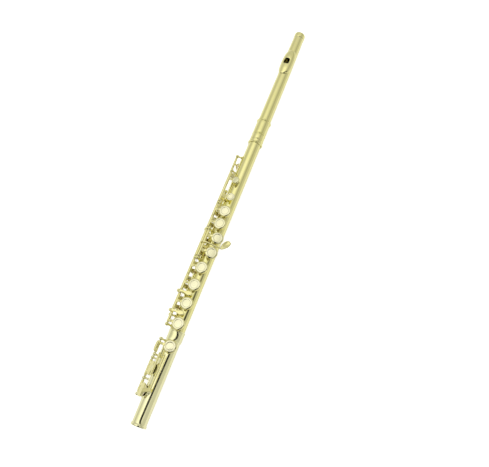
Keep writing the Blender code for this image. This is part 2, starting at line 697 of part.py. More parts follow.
def cup_shape(cup):
    """Key cup: a shallow dish with a raised ring on its top, open below for the pad."""
    radius = cup.radius
    skirt = CUP_INSIDE - CUP_SKIRT
    top = CUP_TOP + CUP_RING_HEIGHT
    profile = [
        (0.0, CUP_TOP + 0.3 * CUP_RING_HEIGHT),
        (0.6 * radius, CUP_TOP),
        (0.75 * radius, top),
        (radius, CUP_INSIDE + 0.3 * CUP_FLOOR),
        (radius, skirt),
        (radius - CUP_WALL, skirt),
        (radius - CUP_WALL, CUP_INSIDE),
        (0.0, CUP_INSIDE),
    ]
    return turned(profile, cup.sides, radial_frame(cup.x, cup.angle))


def pad_shape(cup):
    """Pad: a flat cushion that fills the cup."""
    radius = cup.radius - CUP_WALL - CLEARANCE
    profile = [(0.0, PAD_BOTTOM), (radius, PAD_BOTTOM), (radius, PAD_TOP), (0.0, PAD_TOP)]
    return turned(profile, cup.sides, radial_frame(cup.x, cup.angle))


def touch_button(x, angle):
    """Round finger touch without a pad."""
    top = CUP_TOP + CUP_RING_HEIGHT
    profile = [
        (0.0, CUP_INSIDE),
        (C_TOUCH_RADIUS - 2.0 * CUP_WALL, CUP_INSIDE),
        (C_TOUCH_RADIUS, CUP_INSIDE + 0.5 * CUP_FLOOR),
        (C_TOUCH_RADIUS, CUP_TOP),
        (0.8 * C_TOUCH_RADIUS, top),
        (0.6 * C_TOUCH_RADIUS, CUP_TOP),
        (0.0, CUP_TOP),
    ]
    return turned(profile, SMALL_CUP_SIDES, radial_frame(x, angle))


def hinge_in_frame(line, angle):
    """Place of a hinge line seen from a cup: sideways distance and height."""
    swing = line.angle - angle
    return line.radius * math.sin(swing), line.radius * math.cos(swing)


def cup_arm(x, angle, radius, line, width=ARM_WIDTH):
    """Arm from the side of a cup down to its hinge tube."""
    sideways, height = hinge_in_frame(line, angle)
    side = math.copysign(1.0, sideways)
    rest = CUP_INSIDE + 0.58 * ARM_THICKNESS
    path = [
        (0.0, side * (radius - 1.25 * ARM_THICKNESS), rest, width),
        (0.0, side * (radius + 0.6 * ARM_THICKNESS), rest - 0.25 * ARM_THICKNESS, width),
        (0.0, sideways - side * 0.45 * ARM_THICKNESS, height + 0.6 * ARM_THICKNESS, width),
    ]
    return ribbon(path, ARM_THICKNESS, radial_frame(x, angle))


def key_body(line, span, solids, tube_radius=HINGE_TUBE_RADIUS):
    """Hinge tube joined to the solids it carries, bored for the steel, with the hinge line at the origin."""
    start, end = span
    tube = moved(rod(start, end, tube_radius, ROD_SIDES), on_line(line))
    drill = moved(rod(start - CLEARANCE, end + CLEARANCE, STEEL_BORE, ROD_SIDES), on_line(line))
    return moved(cut(union(tube, *solids), drill), -on_line(line))


def open_swing(line, angle):
    """Turn about X that lifts a cup from its hole to its open place."""
    sideways = hinge_in_frame(line, angle)[0]
    return -KEY_OPENING / sideways


def place_key(name, line, angle, mesh, pads, look, is_open=True):
    """Key on its pivot with the pads of its cups. Each pad is (name, cup). Gives the pivot back."""
    axis = pivot(name + "_axis", line, open_swing(line, angle) if is_open else 0.0)
    place(name, mesh, look["lacquer"], axis)
    for pad_name, cup in pads:
        place(pad_name, moved(pad_shape(cup), -on_line(line)), look["pad"], axis)
    return axis


def finger_key(name, cup, line, start, end, look, is_open=True):
    """Plain key with one cup over one hole and its arm within the hinge tube."""
    arm_x = min(max(cup.x, start + 0.5 * ARM_WIDTH), end - 0.5 * ARM_WIDTH)
    solids = [cup_shape(cup), cup_arm(arm_x, cup.angle, cup.radius, line)]
    mesh = key_body(line, (start, end), solids)
    place_key(name + "_key", line, cup.angle, mesh, [(name + "_pad", cup)], look, is_open)


def front_keys(look):
    """Keys on the main line whose cups stand over the front holes."""
    gap = 0.5 * CLEARANCE
    split_left = between(BFLAT_HOLE.x, A_HOLE.x)
    split_right = between(FSHARP_HOLE.x, F_HOLE.x)
    split_low = between(E_HOLE.x, D_HOLE.x)
    finger_key("bflat", BFLAT_HOLE, MAIN_LINE, split_left + gap, C_POST_X - BALL_REACH, look)
    finger_key("a", A_HOLE, MAIN_LINE, A_POST_X + BALL_REACH, split_left - gap, look)
    finger_key("fsharp", FSHARP_HOLE, MAIN_LINE, split_right + gap, G_POST_X - BALL_REACH, look)
    finger_key("f", F_HOLE, MAIN_LINE, F_POST_X + BALL_REACH, split_right - gap, look)
    finger_key("e", E_HOLE, MAIN_LINE, split_low + gap, F_POST_X - BALL_REACH, look)
    finger_key("d", D_HOLE, MAIN_LINE, D_POST_X + BALL_REACH, split_low - gap, look)


def c_key(look):
    """First-finger touch that closes the small hole further up through a shared hinge tube."""
    solids = [cup_shape(C_HOLE), cup_arm(C_HOLE.x, C_HOLE.angle, C_HOLE.radius, MAIN_LINE)]
    solids.append(touch_button(C_TOUCH_X, FRONT_ANGLE))
    solids.append(cup_arm(C_TOUCH_X, FRONT_ANGLE, C_TOUCH_RADIUS, MAIN_LINE))
    mesh = key_body(MAIN_LINE, (C_POST_X + BALL_REACH, TOP_POST_X - BALL_REACH), solids)
    place_key("c_key", MAIN_LINE, C_HOLE.angle, mesh, [("c_pad", C_HOLE)], look)


def g_key(look):
    """Two offset cups on one hinge tube."""
    solids = []
    for cup in (G_UPPER_HOLE, G_LOWER_HOLE):
        solids += [cup_shape(cup), cup_arm(cup.x, cup.angle, cup.radius, G_LINE)]
    mesh = key_body(G_LINE, (G_POST_X + BALL_REACH, A_POST_X - BALL_REACH), solids)
    pads = [("g_upper_pad", G_UPPER_HOLE), ("g_lower_pad", G_LOWER_HOLE)]
    place_key("g_key", G_LINE, OFFSET_G_ANGLE, mesh, pads, look)


def drop_plate(root, tip):
    """Flat drop-shaped touch from its root to its tip."""
    along = tip - root
    side = along.cross(Vector((0.0, 0.0, 1.0))).normalized() * (0.5 * GSHARP_TOUCH_WIDTH)
    up = side.cross(along).normalized() * (0.5 * ARM_THICKNESS)
    sections = []
    for reached, widened in GSHARP_TOUCH_OUTLINE:
        low = root + along * reached - up
        high = root + along * reached + up
        half = side * widened
        sections.append([low - half, low + half, high + half, high - half])
    return loft(sections)


def gsharp_lever():
    """Lever over the offset hinge tube and between the offset cups, ending in a slanted drop-shaped touch."""
    x = between(G_UPPER_HOLE.x, G_LOWER_HOLE.x)
    hinge = on_line(MAIN_LINE)
    over = on_line(G_LINE)
    reach = HINGE_TUBE_RADIUS + ARM_THICKNESS + CLEARANCE
    path = [
        (x, hinge.y, hinge.z + HINGE_TUBE_RADIUS + CLEARANCE, LEVER_WIDTH),
        (x, hinge.y, hinge.z + 1.35 * reach, LEVER_WIDTH),
        (x, over.y + 0.33 * reach, over.z + reach, LEVER_WIDTH),
        (x, over.y - 1.1 * reach, over.z + reach, LEVER_WIDTH),
        (x, -0.2 * GSHARP_TOUCH_START, over.z + 0.3 * reach, LEVER_WIDTH),
    ]
    root = Vector((x, -GSHARP_TOUCH_START, over.z - 0.4 * GSHARP_TOUCH_DROP))
    tip = root + Vector((GSHARP_TOUCH_SKEW, -GSHARP_TOUCH_LENGTH, -0.6 * GSHARP_TOUCH_DROP))
    lever_end = root.lerp(tip, 0.2)
    path.append((*root, LEVER_WIDTH))
    path.append((*lever_end, LEVER_WIDTH))
    return union(ribbon(path, ARM_THICKNESS), drop_plate(root, tip))


def gsharp_arm(cup):
    """Arm from the main line under the trill line to the far side of the cup behind."""
    sideways, height = hinge_in_frame(MAIN_LINE, cup.angle)
    trill_side, trill_height = hinge_in_frame(TRILL_LINE, cup.angle)
    under = trill_height - TRILL_TUBE_RADIUS - ARM_THICKNESS - CLEARANCE
    path = [
        (0.0, sideways, height, LEVER_WIDTH),
        (0.0, trill_side, under, LEVER_WIDTH),
        (0.0, trill_side + 2.0 * TRILL_TUBE_RADIUS, under + ARM_THICKNESS, LEVER_WIDTH),
        (0.0, -cup.radius - ARM_THICKNESS, RIM_HEIGHT, LEVER_WIDTH),
        (0.0, -cup.radius - CLEARANCE, CUP_INSIDE, LEVER_WIDTH),
    ]
    return ribbon(path, ARM_THICKNESS, radial_frame(cup.x, cup.angle))


def gsharp_key(look):
    """Little-finger lever that crosses the tube between the offset cups and lifts the cup behind."""
    cup = GSHARP_HOLE
    span = (G_POST_X + BALL_REACH, A_POST_X - BALL_REACH)
    mesh = key_body(MAIN_LINE, span, [cup_shape(cup), gsharp_arm(cup)])
    axis = place_key("gsharp_key", MAIN_LINE, GSHARP_ANGLE, mesh, [("gsharp_pad", cup)], look, is_open=False)
    place("gsharp_lever", moved(gsharp_lever(), -on_line(MAIN_LINE)), look["lacquer"], axis)


def trill_touch(x):
    """Arm from the trill line round the outside of the main line to a small touch between two front cups."""
    hinge = on_line(TRILL_LINE)
    outer = on_line(MAIN_LINE)
    swing = POST_BALL_RADIUS + TRILL_SWING_GAP
    elbow = Vector((0.0, outer.y + 1.07 * swing, outer.z - 0.33 * swing))
    root = hinge + (elbow - hinge).normalized() * (TRILL_TUBE_RADIUS + CLEARANCE)
    path = [
        (x, root.y, root.z, LEVER_WIDTH),
        (x, elbow.y, elbow.z, LEVER_WIDTH),
        (x, outer.y + 0.91 * swing, outer.z + 0.48 * swing, LEVER_WIDTH),
        (x, outer.y + 0.09 * swing, outer.z + 1.13 * swing, LEVER_WIDTH),
    ]
    for share, lift, width in TRILL_TOUCH_OUTLINE:
        y = CUP_RADIUS - share * TRILL_TOUCH_LENGTH
        path.append((x, y, CUP_TOP + lift * ARM_THICKNESS, width * TRILL_TOUCH_WIDTH))
    return ribbon(path, ARM_THICKNESS)


def trill_arm(cup):
    return cup_arm(cup.x, cup.angle, cup.radius, TRILL_LINE, TRILL_LEVER_WIDTH)


def place_trill_key(name, cup, mesh, touch_x, look):
    axis = place_key(name + "_key", TRILL_LINE, TRILL_ANGLE, mesh, [(name + "_pad", cup)], look, is_open=False)
    place(name + "_touch", moved(trill_touch(touch_x), -on_line(TRILL_LINE)), look["lacquer"], axis)


def trill_keys(look):
    """One long key turns as a tube round the other, which carries its own steel."""
    low_touch = between(E_HOLE.x, D_HOLE.x)
    high_touch = between(F_HOLE.x, E_HOLE.x)
    split = between(D_TRILL_HOLE.x, DSHARP_TRILL_HOLE.x)
    gap = 0.5 * CLEARANCE
    cup = D_TRILL_HOLE
    tube_start = high_touch - LEVER_WIDTH
    solids = [cup_shape(cup), trill_arm(cup)]
    mesh = key_body(TRILL_LINE, (tube_start, split - gap), solids, TRILL_TUBE_RADIUS)
    place_trill_key("d_trill", cup, mesh, high_touch, look)
    cup = DSHARP_TRILL_HOLE
    sleeves = [(TRILL_POST_LOW_X + BALL_REACH, tube_start - CLEARANCE)]
    sleeves.append((split + gap, TRILL_POST_TOP_X - BALL_REACH))
    solids = [moved(rod(a, b, TRILL_TUBE_RADIUS, ROD_SIDES), on_line(TRILL_LINE)) for a, b in sleeves]
    solids += [cup_shape(cup), trill_arm(cup)]
    core = steel(TRILL_LINE, TRILL_POST_LOW_X - POST_NECK_RADIUS, TRILL_POST_TOP_X + POST_NECK_RADIUS)
    mesh = moved(union(core, *solids), -on_line(TRILL_LINE))
    place_trill_key("dsharp_trill", cup, mesh, low_touch, look)


def thumb_keys(look):
    """Thumb key behind the tube and the plain lever beside it."""
    split = THUMB_HOLE.x + THUMB_HOLE.radius
    gap = 0.5 * CLEARANCE
    finger_key("thumb_b", THUMB_HOLE, THUMB_LINE, THUMB_POST_LOW_X + BALL_REACH, split - gap, look)
    x = between(split, THUMB_POST_TOP_X - BALL_REACH)
    sideways, height = hinge_in_frame(THUMB_LINE, THUMB_ANGLE)
    path = [
        (0.0, sideways, height, ARM_WIDTH),
        (0.0, sideways + 0.25 * THUMB_TOUCH_LENGTH, CUP_INSIDE, ARM_WIDTH),
        (0.0, sideways + 0.4 * THUMB_TOUCH_LENGTH, CUP_TOP, THUMB_TOUCH_WIDTH),
        (0.0, sideways + 0.85 * THUMB_TOUCH_LENGTH, CUP_TOP + CLEARANCE, THUMB_TOUCH_WIDTH),
        (0.0, sideways + THUMB_TOUCH_LENGTH, CUP_TOP, 0.6 * THUMB_TOUCH_WIDTH),
    ]
    solids = [ribbon(path, ARM_THICKNESS, radial_frame(x, THUMB_ANGLE))]
    mesh = key_body(THUMB_LINE, (split + gap, THUMB_POST_TOP_X - BALL_REACH), solids)
    place_key("thumb_bflat_lever", THUMB_LINE, THUMB_ANGLE, mesh, [], look)


def foot_dsharp_key(look):
    """Little-finger key that opens: its touch lies on the outer side of the hinge."""
    cup = FOOT_DSHARP_HOLE
    low, high = FOOT_DSHARP_POSTS
    hinge = on_line(FOOT_DSHARP_LINE)
    middle = between(low, high)
    width = high - low - 2.0 * BALL_REACH
    touch = [
        (middle, hinge.y, hinge.z + 0.7 * HINGE_TUBE_RADIUS, 0.7 * width),
        (middle, hinge.y + 0.37 * FOOT_TOUCH_REACH, hinge.z + 1.3 * HINGE_TUBE_RADIUS, 0.9 * width),
        (middle, hinge.y + 0.77 * FOOT_TOUCH_REACH, hinge.z + 1.1 * HINGE_TUBE_RADIUS, 0.9 * width),
        (middle, hinge.y + FOOT_TOUCH_REACH, hinge.z + 0.6 * HINGE_TUBE_RADIUS, 0.7 * width),
    ]
    arm = cup_arm(cup.x, cup.angle, cup.radius, FOOT_DSHARP_LINE)
    solids = [cup_shape(cup), arm, ribbon(touch, ARM_THICKNESS)]
    mesh = key_body(FOOT_DSHARP_LINE, (low + BALL_REACH, high - BALL_REACH), solids)
    pads = [("foot_dsharp_pad", cup)]
    place_key("foot_dsharp_key", FOOT_DSHARP_LINE, cup.angle, mesh, pads, look, is_open=False)


def foot_touch(start, end, angle, root):
    """Roller-like touch bar along the tube on a stalk that rises from a cup."""
    bar = moved(rod(start, end, TOUCH_BAR_RADIUS, ROD_SIDES), polar(0.0, TOUCH_BAR_DISTANCE, angle))
    head = polar(max(root.x, start + TOUCH_BAR_RADIUS), TOUCH_BAR_DISTANCE, angle)
    return [bar, taper(root, head, POST_FOOT_RADIUS, POST_NECK_RADIUS, POST_SIDES)]


def foot_row_key(name, cup, span, bar_start, bar_angle, look):
    """Cup that faces the player, with a touch bar above it on a stalk off the cup's middle."""
    root_height = CUP_TOP + CUP_RING_HEIGHT + 0.6 * POST_FOOT_RADIUS
    root = radial_frame(cup.x, cup.angle) @ Vector((0.0, -STALK_ROOT * CUP_RADIUS, root_height))
    bar_end = FOOT_DSHARP_HOLE.x - CUP_RADIUS - TOUCH_BAR_GAP
    solids = [cup_shape(cup), cup_arm(cup.x, cup.angle, cup.radius, FOOT_LINE)]
    solids += foot_touch(bar_start, bar_end, bar_angle, root)
    mesh = key_body(FOOT_LINE, span, solids)
    place_key(name + "_key", FOOT_LINE, cup.angle, mesh, [(name + "_pad", cup)], look)


def foot_row_keys(look):
    """The two lowest keys, whose touch bars lie side by side."""
    cup = FOOT_CSHARP_HOLE
    span = (FOOT_POST_MID_X + BALL_REACH, FOOT_POST_TOP_X - BALL_REACH)
    foot_row_key("foot_csharp", cup, span, cup.x - TOUCH_BAR_OVERHANG, CSHARP_BAR_ANGLE, look)
    cup = FOOT_C_HOLE
    span = (FOOT_POST_LOW_X + BALL_REACH, FOOT_POST_MID_X - BALL_REACH)
    foot_row_key("foot_c", cup, span, cup.x + TOUCH_BAR_RADIUS, C_BAR_ANGLE, look)


def steels(look):
    """Hinge steels, each ending inside its end posts."""
    tip = POST_NECK_RADIUS
    gap = CLEARANCE
    low, high = FOOT_DSHARP_POSTS
    runs = {
        "left_hand_steel": (MAIN_LINE, A_POST_X + gap, TOP_POST_X + tip),
        "gsharp_steel": (MAIN_LINE, G_POST_X + gap, A_POST_X - gap),
        "right_hand_steel": (MAIN_LINE, D_POST_X - tip, G_POST_X - gap),
        "g_steel": (G_LINE, G_POST_X - tip, A_POST_X + tip),
        "thumb_steel": (THUMB_LINE, THUMB_POST_LOW_X - tip, THUMB_POST_TOP_X + tip),
        "foot_dsharp_steel": (FOOT_DSHARP_LINE, low - tip, high + tip),
        "foot_steel": (FOOT_LINE, FOOT_POST_LOW_X - tip, FOOT_POST_TOP_X + tip),
    }
    for name, (line, start, end) in runs.items():
        place(name, steel(line, start, end), look["steel"])


def fixed_pieces(look):
    """Tubes, fittings and ribs that carry the keys."""
    shapes = (
        head_tube, lip_plate, embouchure_riser, crown, body_tube, barrel, foot_tube,
        left_hand_rib, right_hand_rib, thumb_rib, foot_dsharp_rib, foot_rib,
    )
    for shape in shapes:
        place(shape.__name__, shape(), look["lacquer"])
    place("stopper_cork", stopper_cork(), look["cork"])
    place("stopper_screw", stopper_screw(), look["steel"])
    place("stopper_washer", stopper_washer(), look["steel"])


def main():
    clear_scene()
    look = {
        "lacquer": make_material("gold_lacquer", (0.86, 0.72, 0.36), 0.18, 1.0),
        "steel": make_material("steel", (0.72, 0.70, 0.66), 0.3, 1.0),
        "pad": make_material("pad_skin", (0.88, 0.82, 0.68), 0.7, 0.0),
        "cork": make_material("cork", (0.55, 0.38, 0.22), 0.9, 0.0),
    }
    fixed_pieces(look)
    steels(look)
    front_keys(look)
    c_key(look)
    g_key(look)
    gsharp_key(look)
    trill_keys(look)
    thumb_keys(look)
    foot_dsharp_key(look)
    foot_row_keys(look)


main()
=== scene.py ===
import math
from collections import namedtuple

import bmesh
import bpy
from mathutils import Matrix, Vector


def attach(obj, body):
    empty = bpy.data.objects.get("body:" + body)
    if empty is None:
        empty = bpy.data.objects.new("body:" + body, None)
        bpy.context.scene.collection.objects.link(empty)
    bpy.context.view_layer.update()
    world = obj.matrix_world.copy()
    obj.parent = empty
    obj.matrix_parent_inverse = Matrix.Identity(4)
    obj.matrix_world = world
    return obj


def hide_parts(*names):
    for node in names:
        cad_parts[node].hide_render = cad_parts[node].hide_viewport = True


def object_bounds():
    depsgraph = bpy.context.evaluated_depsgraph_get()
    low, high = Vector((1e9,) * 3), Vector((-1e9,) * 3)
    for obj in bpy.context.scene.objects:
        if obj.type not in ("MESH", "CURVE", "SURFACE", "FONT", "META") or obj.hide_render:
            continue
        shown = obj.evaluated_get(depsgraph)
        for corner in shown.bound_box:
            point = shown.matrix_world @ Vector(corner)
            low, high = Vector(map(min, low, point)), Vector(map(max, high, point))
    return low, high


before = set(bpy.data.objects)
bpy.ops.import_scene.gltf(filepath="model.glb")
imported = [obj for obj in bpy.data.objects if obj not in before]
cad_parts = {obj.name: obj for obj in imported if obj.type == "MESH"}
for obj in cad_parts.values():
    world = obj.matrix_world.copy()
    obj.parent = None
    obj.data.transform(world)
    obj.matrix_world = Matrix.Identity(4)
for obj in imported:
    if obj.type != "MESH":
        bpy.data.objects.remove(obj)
cad_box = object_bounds()

MM = 0.001

# Sizes of the part that the fine pieces follow
CLEARANCE = 0.3 * MM
BORE_RADIUS = 9.5 * MM
TUBE_RADIUS = 9.9 * MM
TUBE_WALL = 0.4 * MM
CROWN_BORE_RADIUS = 8.5 * MM
SCALE_LENGTH = 660.15 * MM
SMALL_HOLE_SHIFT = 14.3 * MM
LOWEST_HOLE_SHIFT = 6.0 * MM
EMBOUCHURE_X = 602.1 * MM
HEAD_END_X = 660.0 * MM
CROWN_END_X = 670.9 * MM
BARREL_OFFSET = 30.6 * MM
BARREL_LENGTH = 49.0 * MM
BARREL_SEAT = 14.0 * MM
TENON_GAP = 1.0 * MM
STRAIGHT_HEAD = 13.0 * MM
SOCKET_FLOOR_OFFSET = 2.0 * MM
FOOT_END_BEAD = 4.0 * MM
SLEEVE_BORE = 10.2 * MM
SLEEVE_RADIUS = 11.0 * MM
BEAD_HEIGHT = 0.7 * MM
BEAD_BEVEL = 0.8 * MM
FOOT_END_BEAD_HEIGHT = 0.9 * MM
LIP_ANGLE = math.radians(14.0)
LIP_HALF_LENGTH = 25.0 * MM
LIP_HALF_WIDTH = 15.5 * MM
LIP_THICKNESS = 0.9 * MM
LIP_HEIGHT = 3.4 * MM
LIP_EDGE_DROP = 1.3 * MM
MOUTH_HALF_LENGTH = 6.0 * MM
MOUTH_HALF_WIDTH = 5.0 * MM
RISER_WALL = 1.2 * MM
STOPPER_FACE_X = 619.4 * MM
CORK_LENGTH = 16.0 * MM
STOPPER_PLATE = 1.0 * MM
STOPPER_SCREW_RADIUS = 1.5 * MM
STOPPER_TRAVEL = 1.0 * MM
CROWN_PLUG_LENGTH = 8.0 * MM
CROWN_RADIUS = 9.3 * MM
CROWN_FACE_RADIUS = 6.0 * MM
CROWN_HOLE_DEPTH = 4.5 * MM
CHIMNEY_WALL = 0.5 * MM
LARGE_HOLE_RADIUS = 6.7 * MM
BACK_HOLE_RADIUS = 5.6 * MM
SMALL_HOLE_RADIUS = 3.6 * MM
CUP_RADIUS = 9.0 * MM
BACK_CUP_RADIUS = 7.6 * MM
SMALL_CUP_RADIUS = 5.75 * MM
C_TOUCH_RADIUS = 6.0 * MM
C_TOUCH_SHIFT = 4.0 * MM
CUP_WALL = 0.5 * MM
CUP_FLOOR = 0.8 * MM
CUP_RING_HEIGHT = 0.45 * MM
CUP_SKIRT = 1.4 * MM
RIM_HEIGHT = 11.9 * MM
PAD_BOTTOM = 12.2 * MM
PAD_TOP = 14.6 * MM
CUP_INSIDE = 14.9 * MM
CUP_TOP = 15.7 * MM
KEY_OPENING = 2.2 * MM
ARM_WIDTH = 4.6 * MM
ARM_THICKNESS = 1.3 * MM
STEEL_RADIUS = 1.1 * MM
STEEL_BORE = 1.4 * MM
HINGE_TUBE_RADIUS = 2.0 * MM
TRILL_TUBE_RADIUS = 1.75 * MM
POST_BALL_RADIUS = 2.6 * MM
POST_FOOT_RADIUS = 1.7 * MM
POST_NECK_RADIUS = 1.2 * MM
POST_LEAN = 0.25
END_POST_OFFSET = 15.6 * MM
TRILL_POST_OFFSET = 10.5 * MM
TRILL_LOW_OFFSET = 5.0 * MM
THUMB_POST_OFFSET = 22.0 * MM
FOOT_POST_OFFSET = 13.5 * MM
FOOT_LOW_POST_OFFSET = 7.0 * MM
BALL_REACH = POST_BALL_RADIUS + CLEARANCE
RIB_BOTTOM = TUBE_RADIUS + CLEARANCE
RIB_TOP = RIB_BOTTOM + 1.0 * MM
RIB_WIDTH = 3.8 * MM
LEVER_WIDTH = 3.4 * MM
TRILL_LEVER_WIDTH = 3.0 * MM
TRILL_SWING = POST_BALL_RADIUS + 2.0 * MM
TRILL_TOUCH_WIDTH = 6.4 * MM
TRILL_TOUCH_LENGTH = 10.5 * MM
GSHARP_TOUCH_WIDTH = 9.5 * MM
GSHARP_TOUCH_START = 14.0 * MM
GSHARP_TOUCH_LENGTH = 8.5 * MM
GSHARP_TOUCH_SKEW = 15.0 * MM
GSHARP_TOUCH_DROP = 6.0 * MM
THUMB_TOUCH_WIDTH = 8.5 * MM
THUMB_TOUCH_LENGTH = 20.0 * MM
FOOT_TOUCH_REACH = 3.2 * MM
TOUCH_BAR_RADIUS = 1.5 * MM
TOUCH_BAR_DISTANCE = 22.5 * MM
TOUCH_BAR_OVERHANG = 9.0 * MM
TOUCH_BAR_GAP = 3.0 * MM
OVAL_POWER = 2.7

# Cup top as (share of the radius, share of the ring's height), crown as (share of the radius, share of
# the length), and the lip plate's rings as shares of the way from the mouth hole to the plate's edge
CUP_TOP_SHAPE = (
    (0.0, 0.3), (0.25, 0.24), (0.48, 0.08), (0.58, -0.1),
    (0.62, 0.75), (0.67, 1.0), (0.76, 1.0), (0.88, 0.3),
)
CROWN_SHAPE = ((0.95, 0.0), (1.0, 0.08), (1.0, 0.8), (0.96, 0.9))
LIP_SHARES = (0.0, 0.02, 0.06, 0.12, 0.2, 0.3, 0.42, 0.55, 0.68, 0.8, 0.9, 0.96, 0.99, 1.0)

# Small details that only the fine pieces have
# Share of a cup's radius whose top gets the paler cup lacquer, a painted highlight
CUP_HIGHLIGHT_SHARE = 0.86
LIP_END_DROP = 1.2 * MM
MOUTH_POWER = 3.4
BAR_POWER = 3.5
RISER_SHIFT = 0.1 * MM
CHIMNEY_ROLL = 0.9 * MM
CHIMNEY_LIP = 0.3 * MM
FOOT_RIM_WIDTH = 2.4 * MM
FOOT_RIM_BEVEL = 0.4 * MM
FINE_GROOVE = 0.15 * MM
TUBE_LINE_INSET = 1.0 * MM
BARREL_SKIN = 0.5 * MM
BARREL_SETBACK = 3.5 * MM
BARREL_RING_WIDTH = 2.6 * MM
BARREL_RING_INSET = 0.8 * MM
BARREL_RING_HEIGHT = 1.1 * MM
BARREL_LINE_OFFSET = 7.3 * MM
BARREL_LINE_HEIGHT = 0.25 * MM
BARREL_MIDDLE_OFFSET = 17.5 * MM
BARREL_MIDDLE_HEIGHT = 0.4 * MM
SCREW_PITCH = 0.7 * MM
SCREW_DEPTH = 0.25 * MM
SLOT_DEPTH = 0.5 * MM
SLOT_WIDTH = 0.35 * MM
SLOT_LENGTH = 4.0 * STEEL_RADIUS
RIB_EASE = 0.25 * MM
PAD_PRESS = 0.12 * MM
PAD_SWELL = 0.1 * MM
PAD_SEAT_REACH = 0.6 * MM
PAD_EDGE_INSET = 0.4 * MM
PAD_EDGE_RISE = 0.7 * MM
PAD_BEVEL = 0.3 * MM
BUTTON_DISH = 0.1 * MM
DISH_DEPTH = 0.8 * MM
BAR_COLLAR = 1.6 * MM
BAR_ARM_WIDTH = 6.5 * MM
TAIL_WIDTH = 7.5 * MM
TAIL_THICKNESS = 1.1 * MM
TAIL_PITCH = 10.5 * MM
BUMPER_RADIUS = 1.3 * MM
BUMPER_HEIGHT = 0.8 * MM
SPRING_RADIUS = 0.3 * MM
SPRING_LENGTH = 14.0 * MM
SPRING_OFFSET = math.radians(4.5)
HALF_GAP = 0.5 * CLEARANCE
WELD_REACH = 0.003 * MM
STRAIGHT_ANGLE = math.radians(12.0)
SHARP_ANGLE = math.radians(32.0)

# Radii that round off the corners of turned shapes
ROD_CORNER = 0.2 * MM
CHIMNEY_CORNER = 0.3 * MM
FOOT_TUBE_CORNER = 0.35 * MM
BARREL_CORNER = 0.25 * MM
CROWN_CORNER = 0.5 * MM
CORK_CORNER = 0.6 * MM
WASHER_CORNER = 0.3 * MM
CUP_CORNER = 0.35 * MM
PAD_CORNER = 0.3 * MM
BUTTON_CORNER = 0.4 * MM
HINGE_TUBE_CORNER = 0.15 * MM
BUMPER_CORNER = 0.2 * MM
TOUCH_BAR_CORNER = 0.3 * MM

# The camera that takes the photograph's view
CAMERA_PLACE = Vector((54.8, -107.9, 671.1)) * MM
CAMERA_AIM = Vector((293.7, -37.2, 0.0)) * MM
CAMERA_ROLL = math.radians(3.94)
FOCAL_LENGTH = 35.96
SENSOR_WIDTH = 36.0
CLIP_START = 10.0 * MM
LENS_SHIFT = (-0.0014, 0.0006)

# Lamp and floor, in metres and watts. The floor's lift to white goes by the kind of ray that sees it.
LAMP_PLACE = Vector((0.34, 0.05, 1.5))
LAMP_AIM = Vector((0.34, 0.0, 0.0))
LAMP_SIZE = (1.6, 1.2)
LAMP_POWER = 9.0
FLOOR_HALF = 4.0
FLOOR_COLOUR = (0.7, 0.7, 0.7)
FLOOR_LIFT = {"Is Camera Ray": 0.6, "Is Transmission Ray": 0.6, "Is Glossy Ray": 0.15}
WHITE = (1.0, 1.0, 1.0)

# Studio as gloss shows it. Angles are degrees round the tube from straight up.
# A row of four numbers is a ramp: from one X of the direction to another, and its values at these two.
MATT_LEVEL = 0.75
OPEN_LEVEL = 0.62
STRIP_ANGLE = 13.0
STRIP_CORE = 10.0
STRIP_REACH = (0.0, 0.12, 64.0, 42.0)
STRIP_FADE = (0.45, 0.75, 1.0, 0.0)
STRIP_LEVEL = (0.05, 0.2, 0.55, 0.45)
GAP_ANGLE = (-0.06, 0.17, -6.0, -45.0)
GAP_WIDTH = (0.1, 0.35, 15.0, 11.0)
GAP_LEVEL = (0.12, 0.35, 0.03, 0.76)
GAP_EDGE = (0.75, 1.2)
FOOT_END_FADE = (-0.32, -0.14, 0.6, 1.0)

# Facets of the fine pieces
TUBE_SIDES = 96
LIP_SIDES = 96
RISER_SIDES = 64
CUP_SIDES = 56
ROD_SIDES = 24
POST_SIDES = 24
SPRING_SIDES = 12
SECTION_POINTS = 16
DISH_STEPS = 10
END_CAP_DEGREES = (35.0, 60.0, 80.0)
TUBE_STEP = 4.0 * MM

# Angles round the tube, from straight up towards the player
FRONT_ANGLE = 0.0
OFFSET_G_ANGLE = math.radians(-16.7)
SMALL_HOLE_ANGLE = math.radians(11.0)
GSHARP_ANGLE = math.radians(128.0)
TRILL_ANGLE = math.radians(125.0)
THUMB_ANGLE = math.radians(180.0)
FOOT_DSHARP_ANGLE = math.radians(-3.0)
FOOT_ROW_ANGLE = math.radians(48.0)
HINGE_SWING = math.radians(55.0)
RIB_ANGLE = math.radians(61.5)
FOOT_DSHARP_RIB_ANGLE = math.radians(58.0)
CSHARP_BAR_ANGLE = math.radians(7.0)
C_BAR_ANGLE = math.radians(-10.0)

# Hinge lines, each at a radius and an angle round the tube
Line = namedtuple("Line", "radius angle")
HINGE_RADIUS = 19.2 * MM
MAIN_LINE = Line(HINGE_RADIUS, FRONT_ANGLE + HINGE_SWING)
G_LINE = Line(HINGE_RADIUS, OFFSET_G_ANGLE + HINGE_SWING)
TRILL_LINE = Line(18.2 * MM, math.radians(75.7))
THUMB_LINE = Line(HINGE_RADIUS, THUMB_ANGLE - HINGE_SWING)
FOOT_DSHARP_LINE = Line(HINGE_RADIUS, FOOT_DSHARP_ANGLE + HINGE_SWING)
FOOT_LINE = Line(HINGE_RADIUS, FOOT_ROW_ANGLE + HINGE_SWING)

# A cup with its place, its radius and the radius of the hole under it
Cup = namedtuple("Cup", "x angle radius hole")


def tone_hole_x(semitone):
    """Place of the hole that sounds this many semitones above the lowest note."""
    return SCALE_LENGTH * (1.0 - 2.0 ** (-semitone / 12.0))


def polar(x, radius, angle):
    """Point at a radius and an angle round the tube."""
    return Vector((x, radius * math.sin(angle), radius * math.cos(angle)))


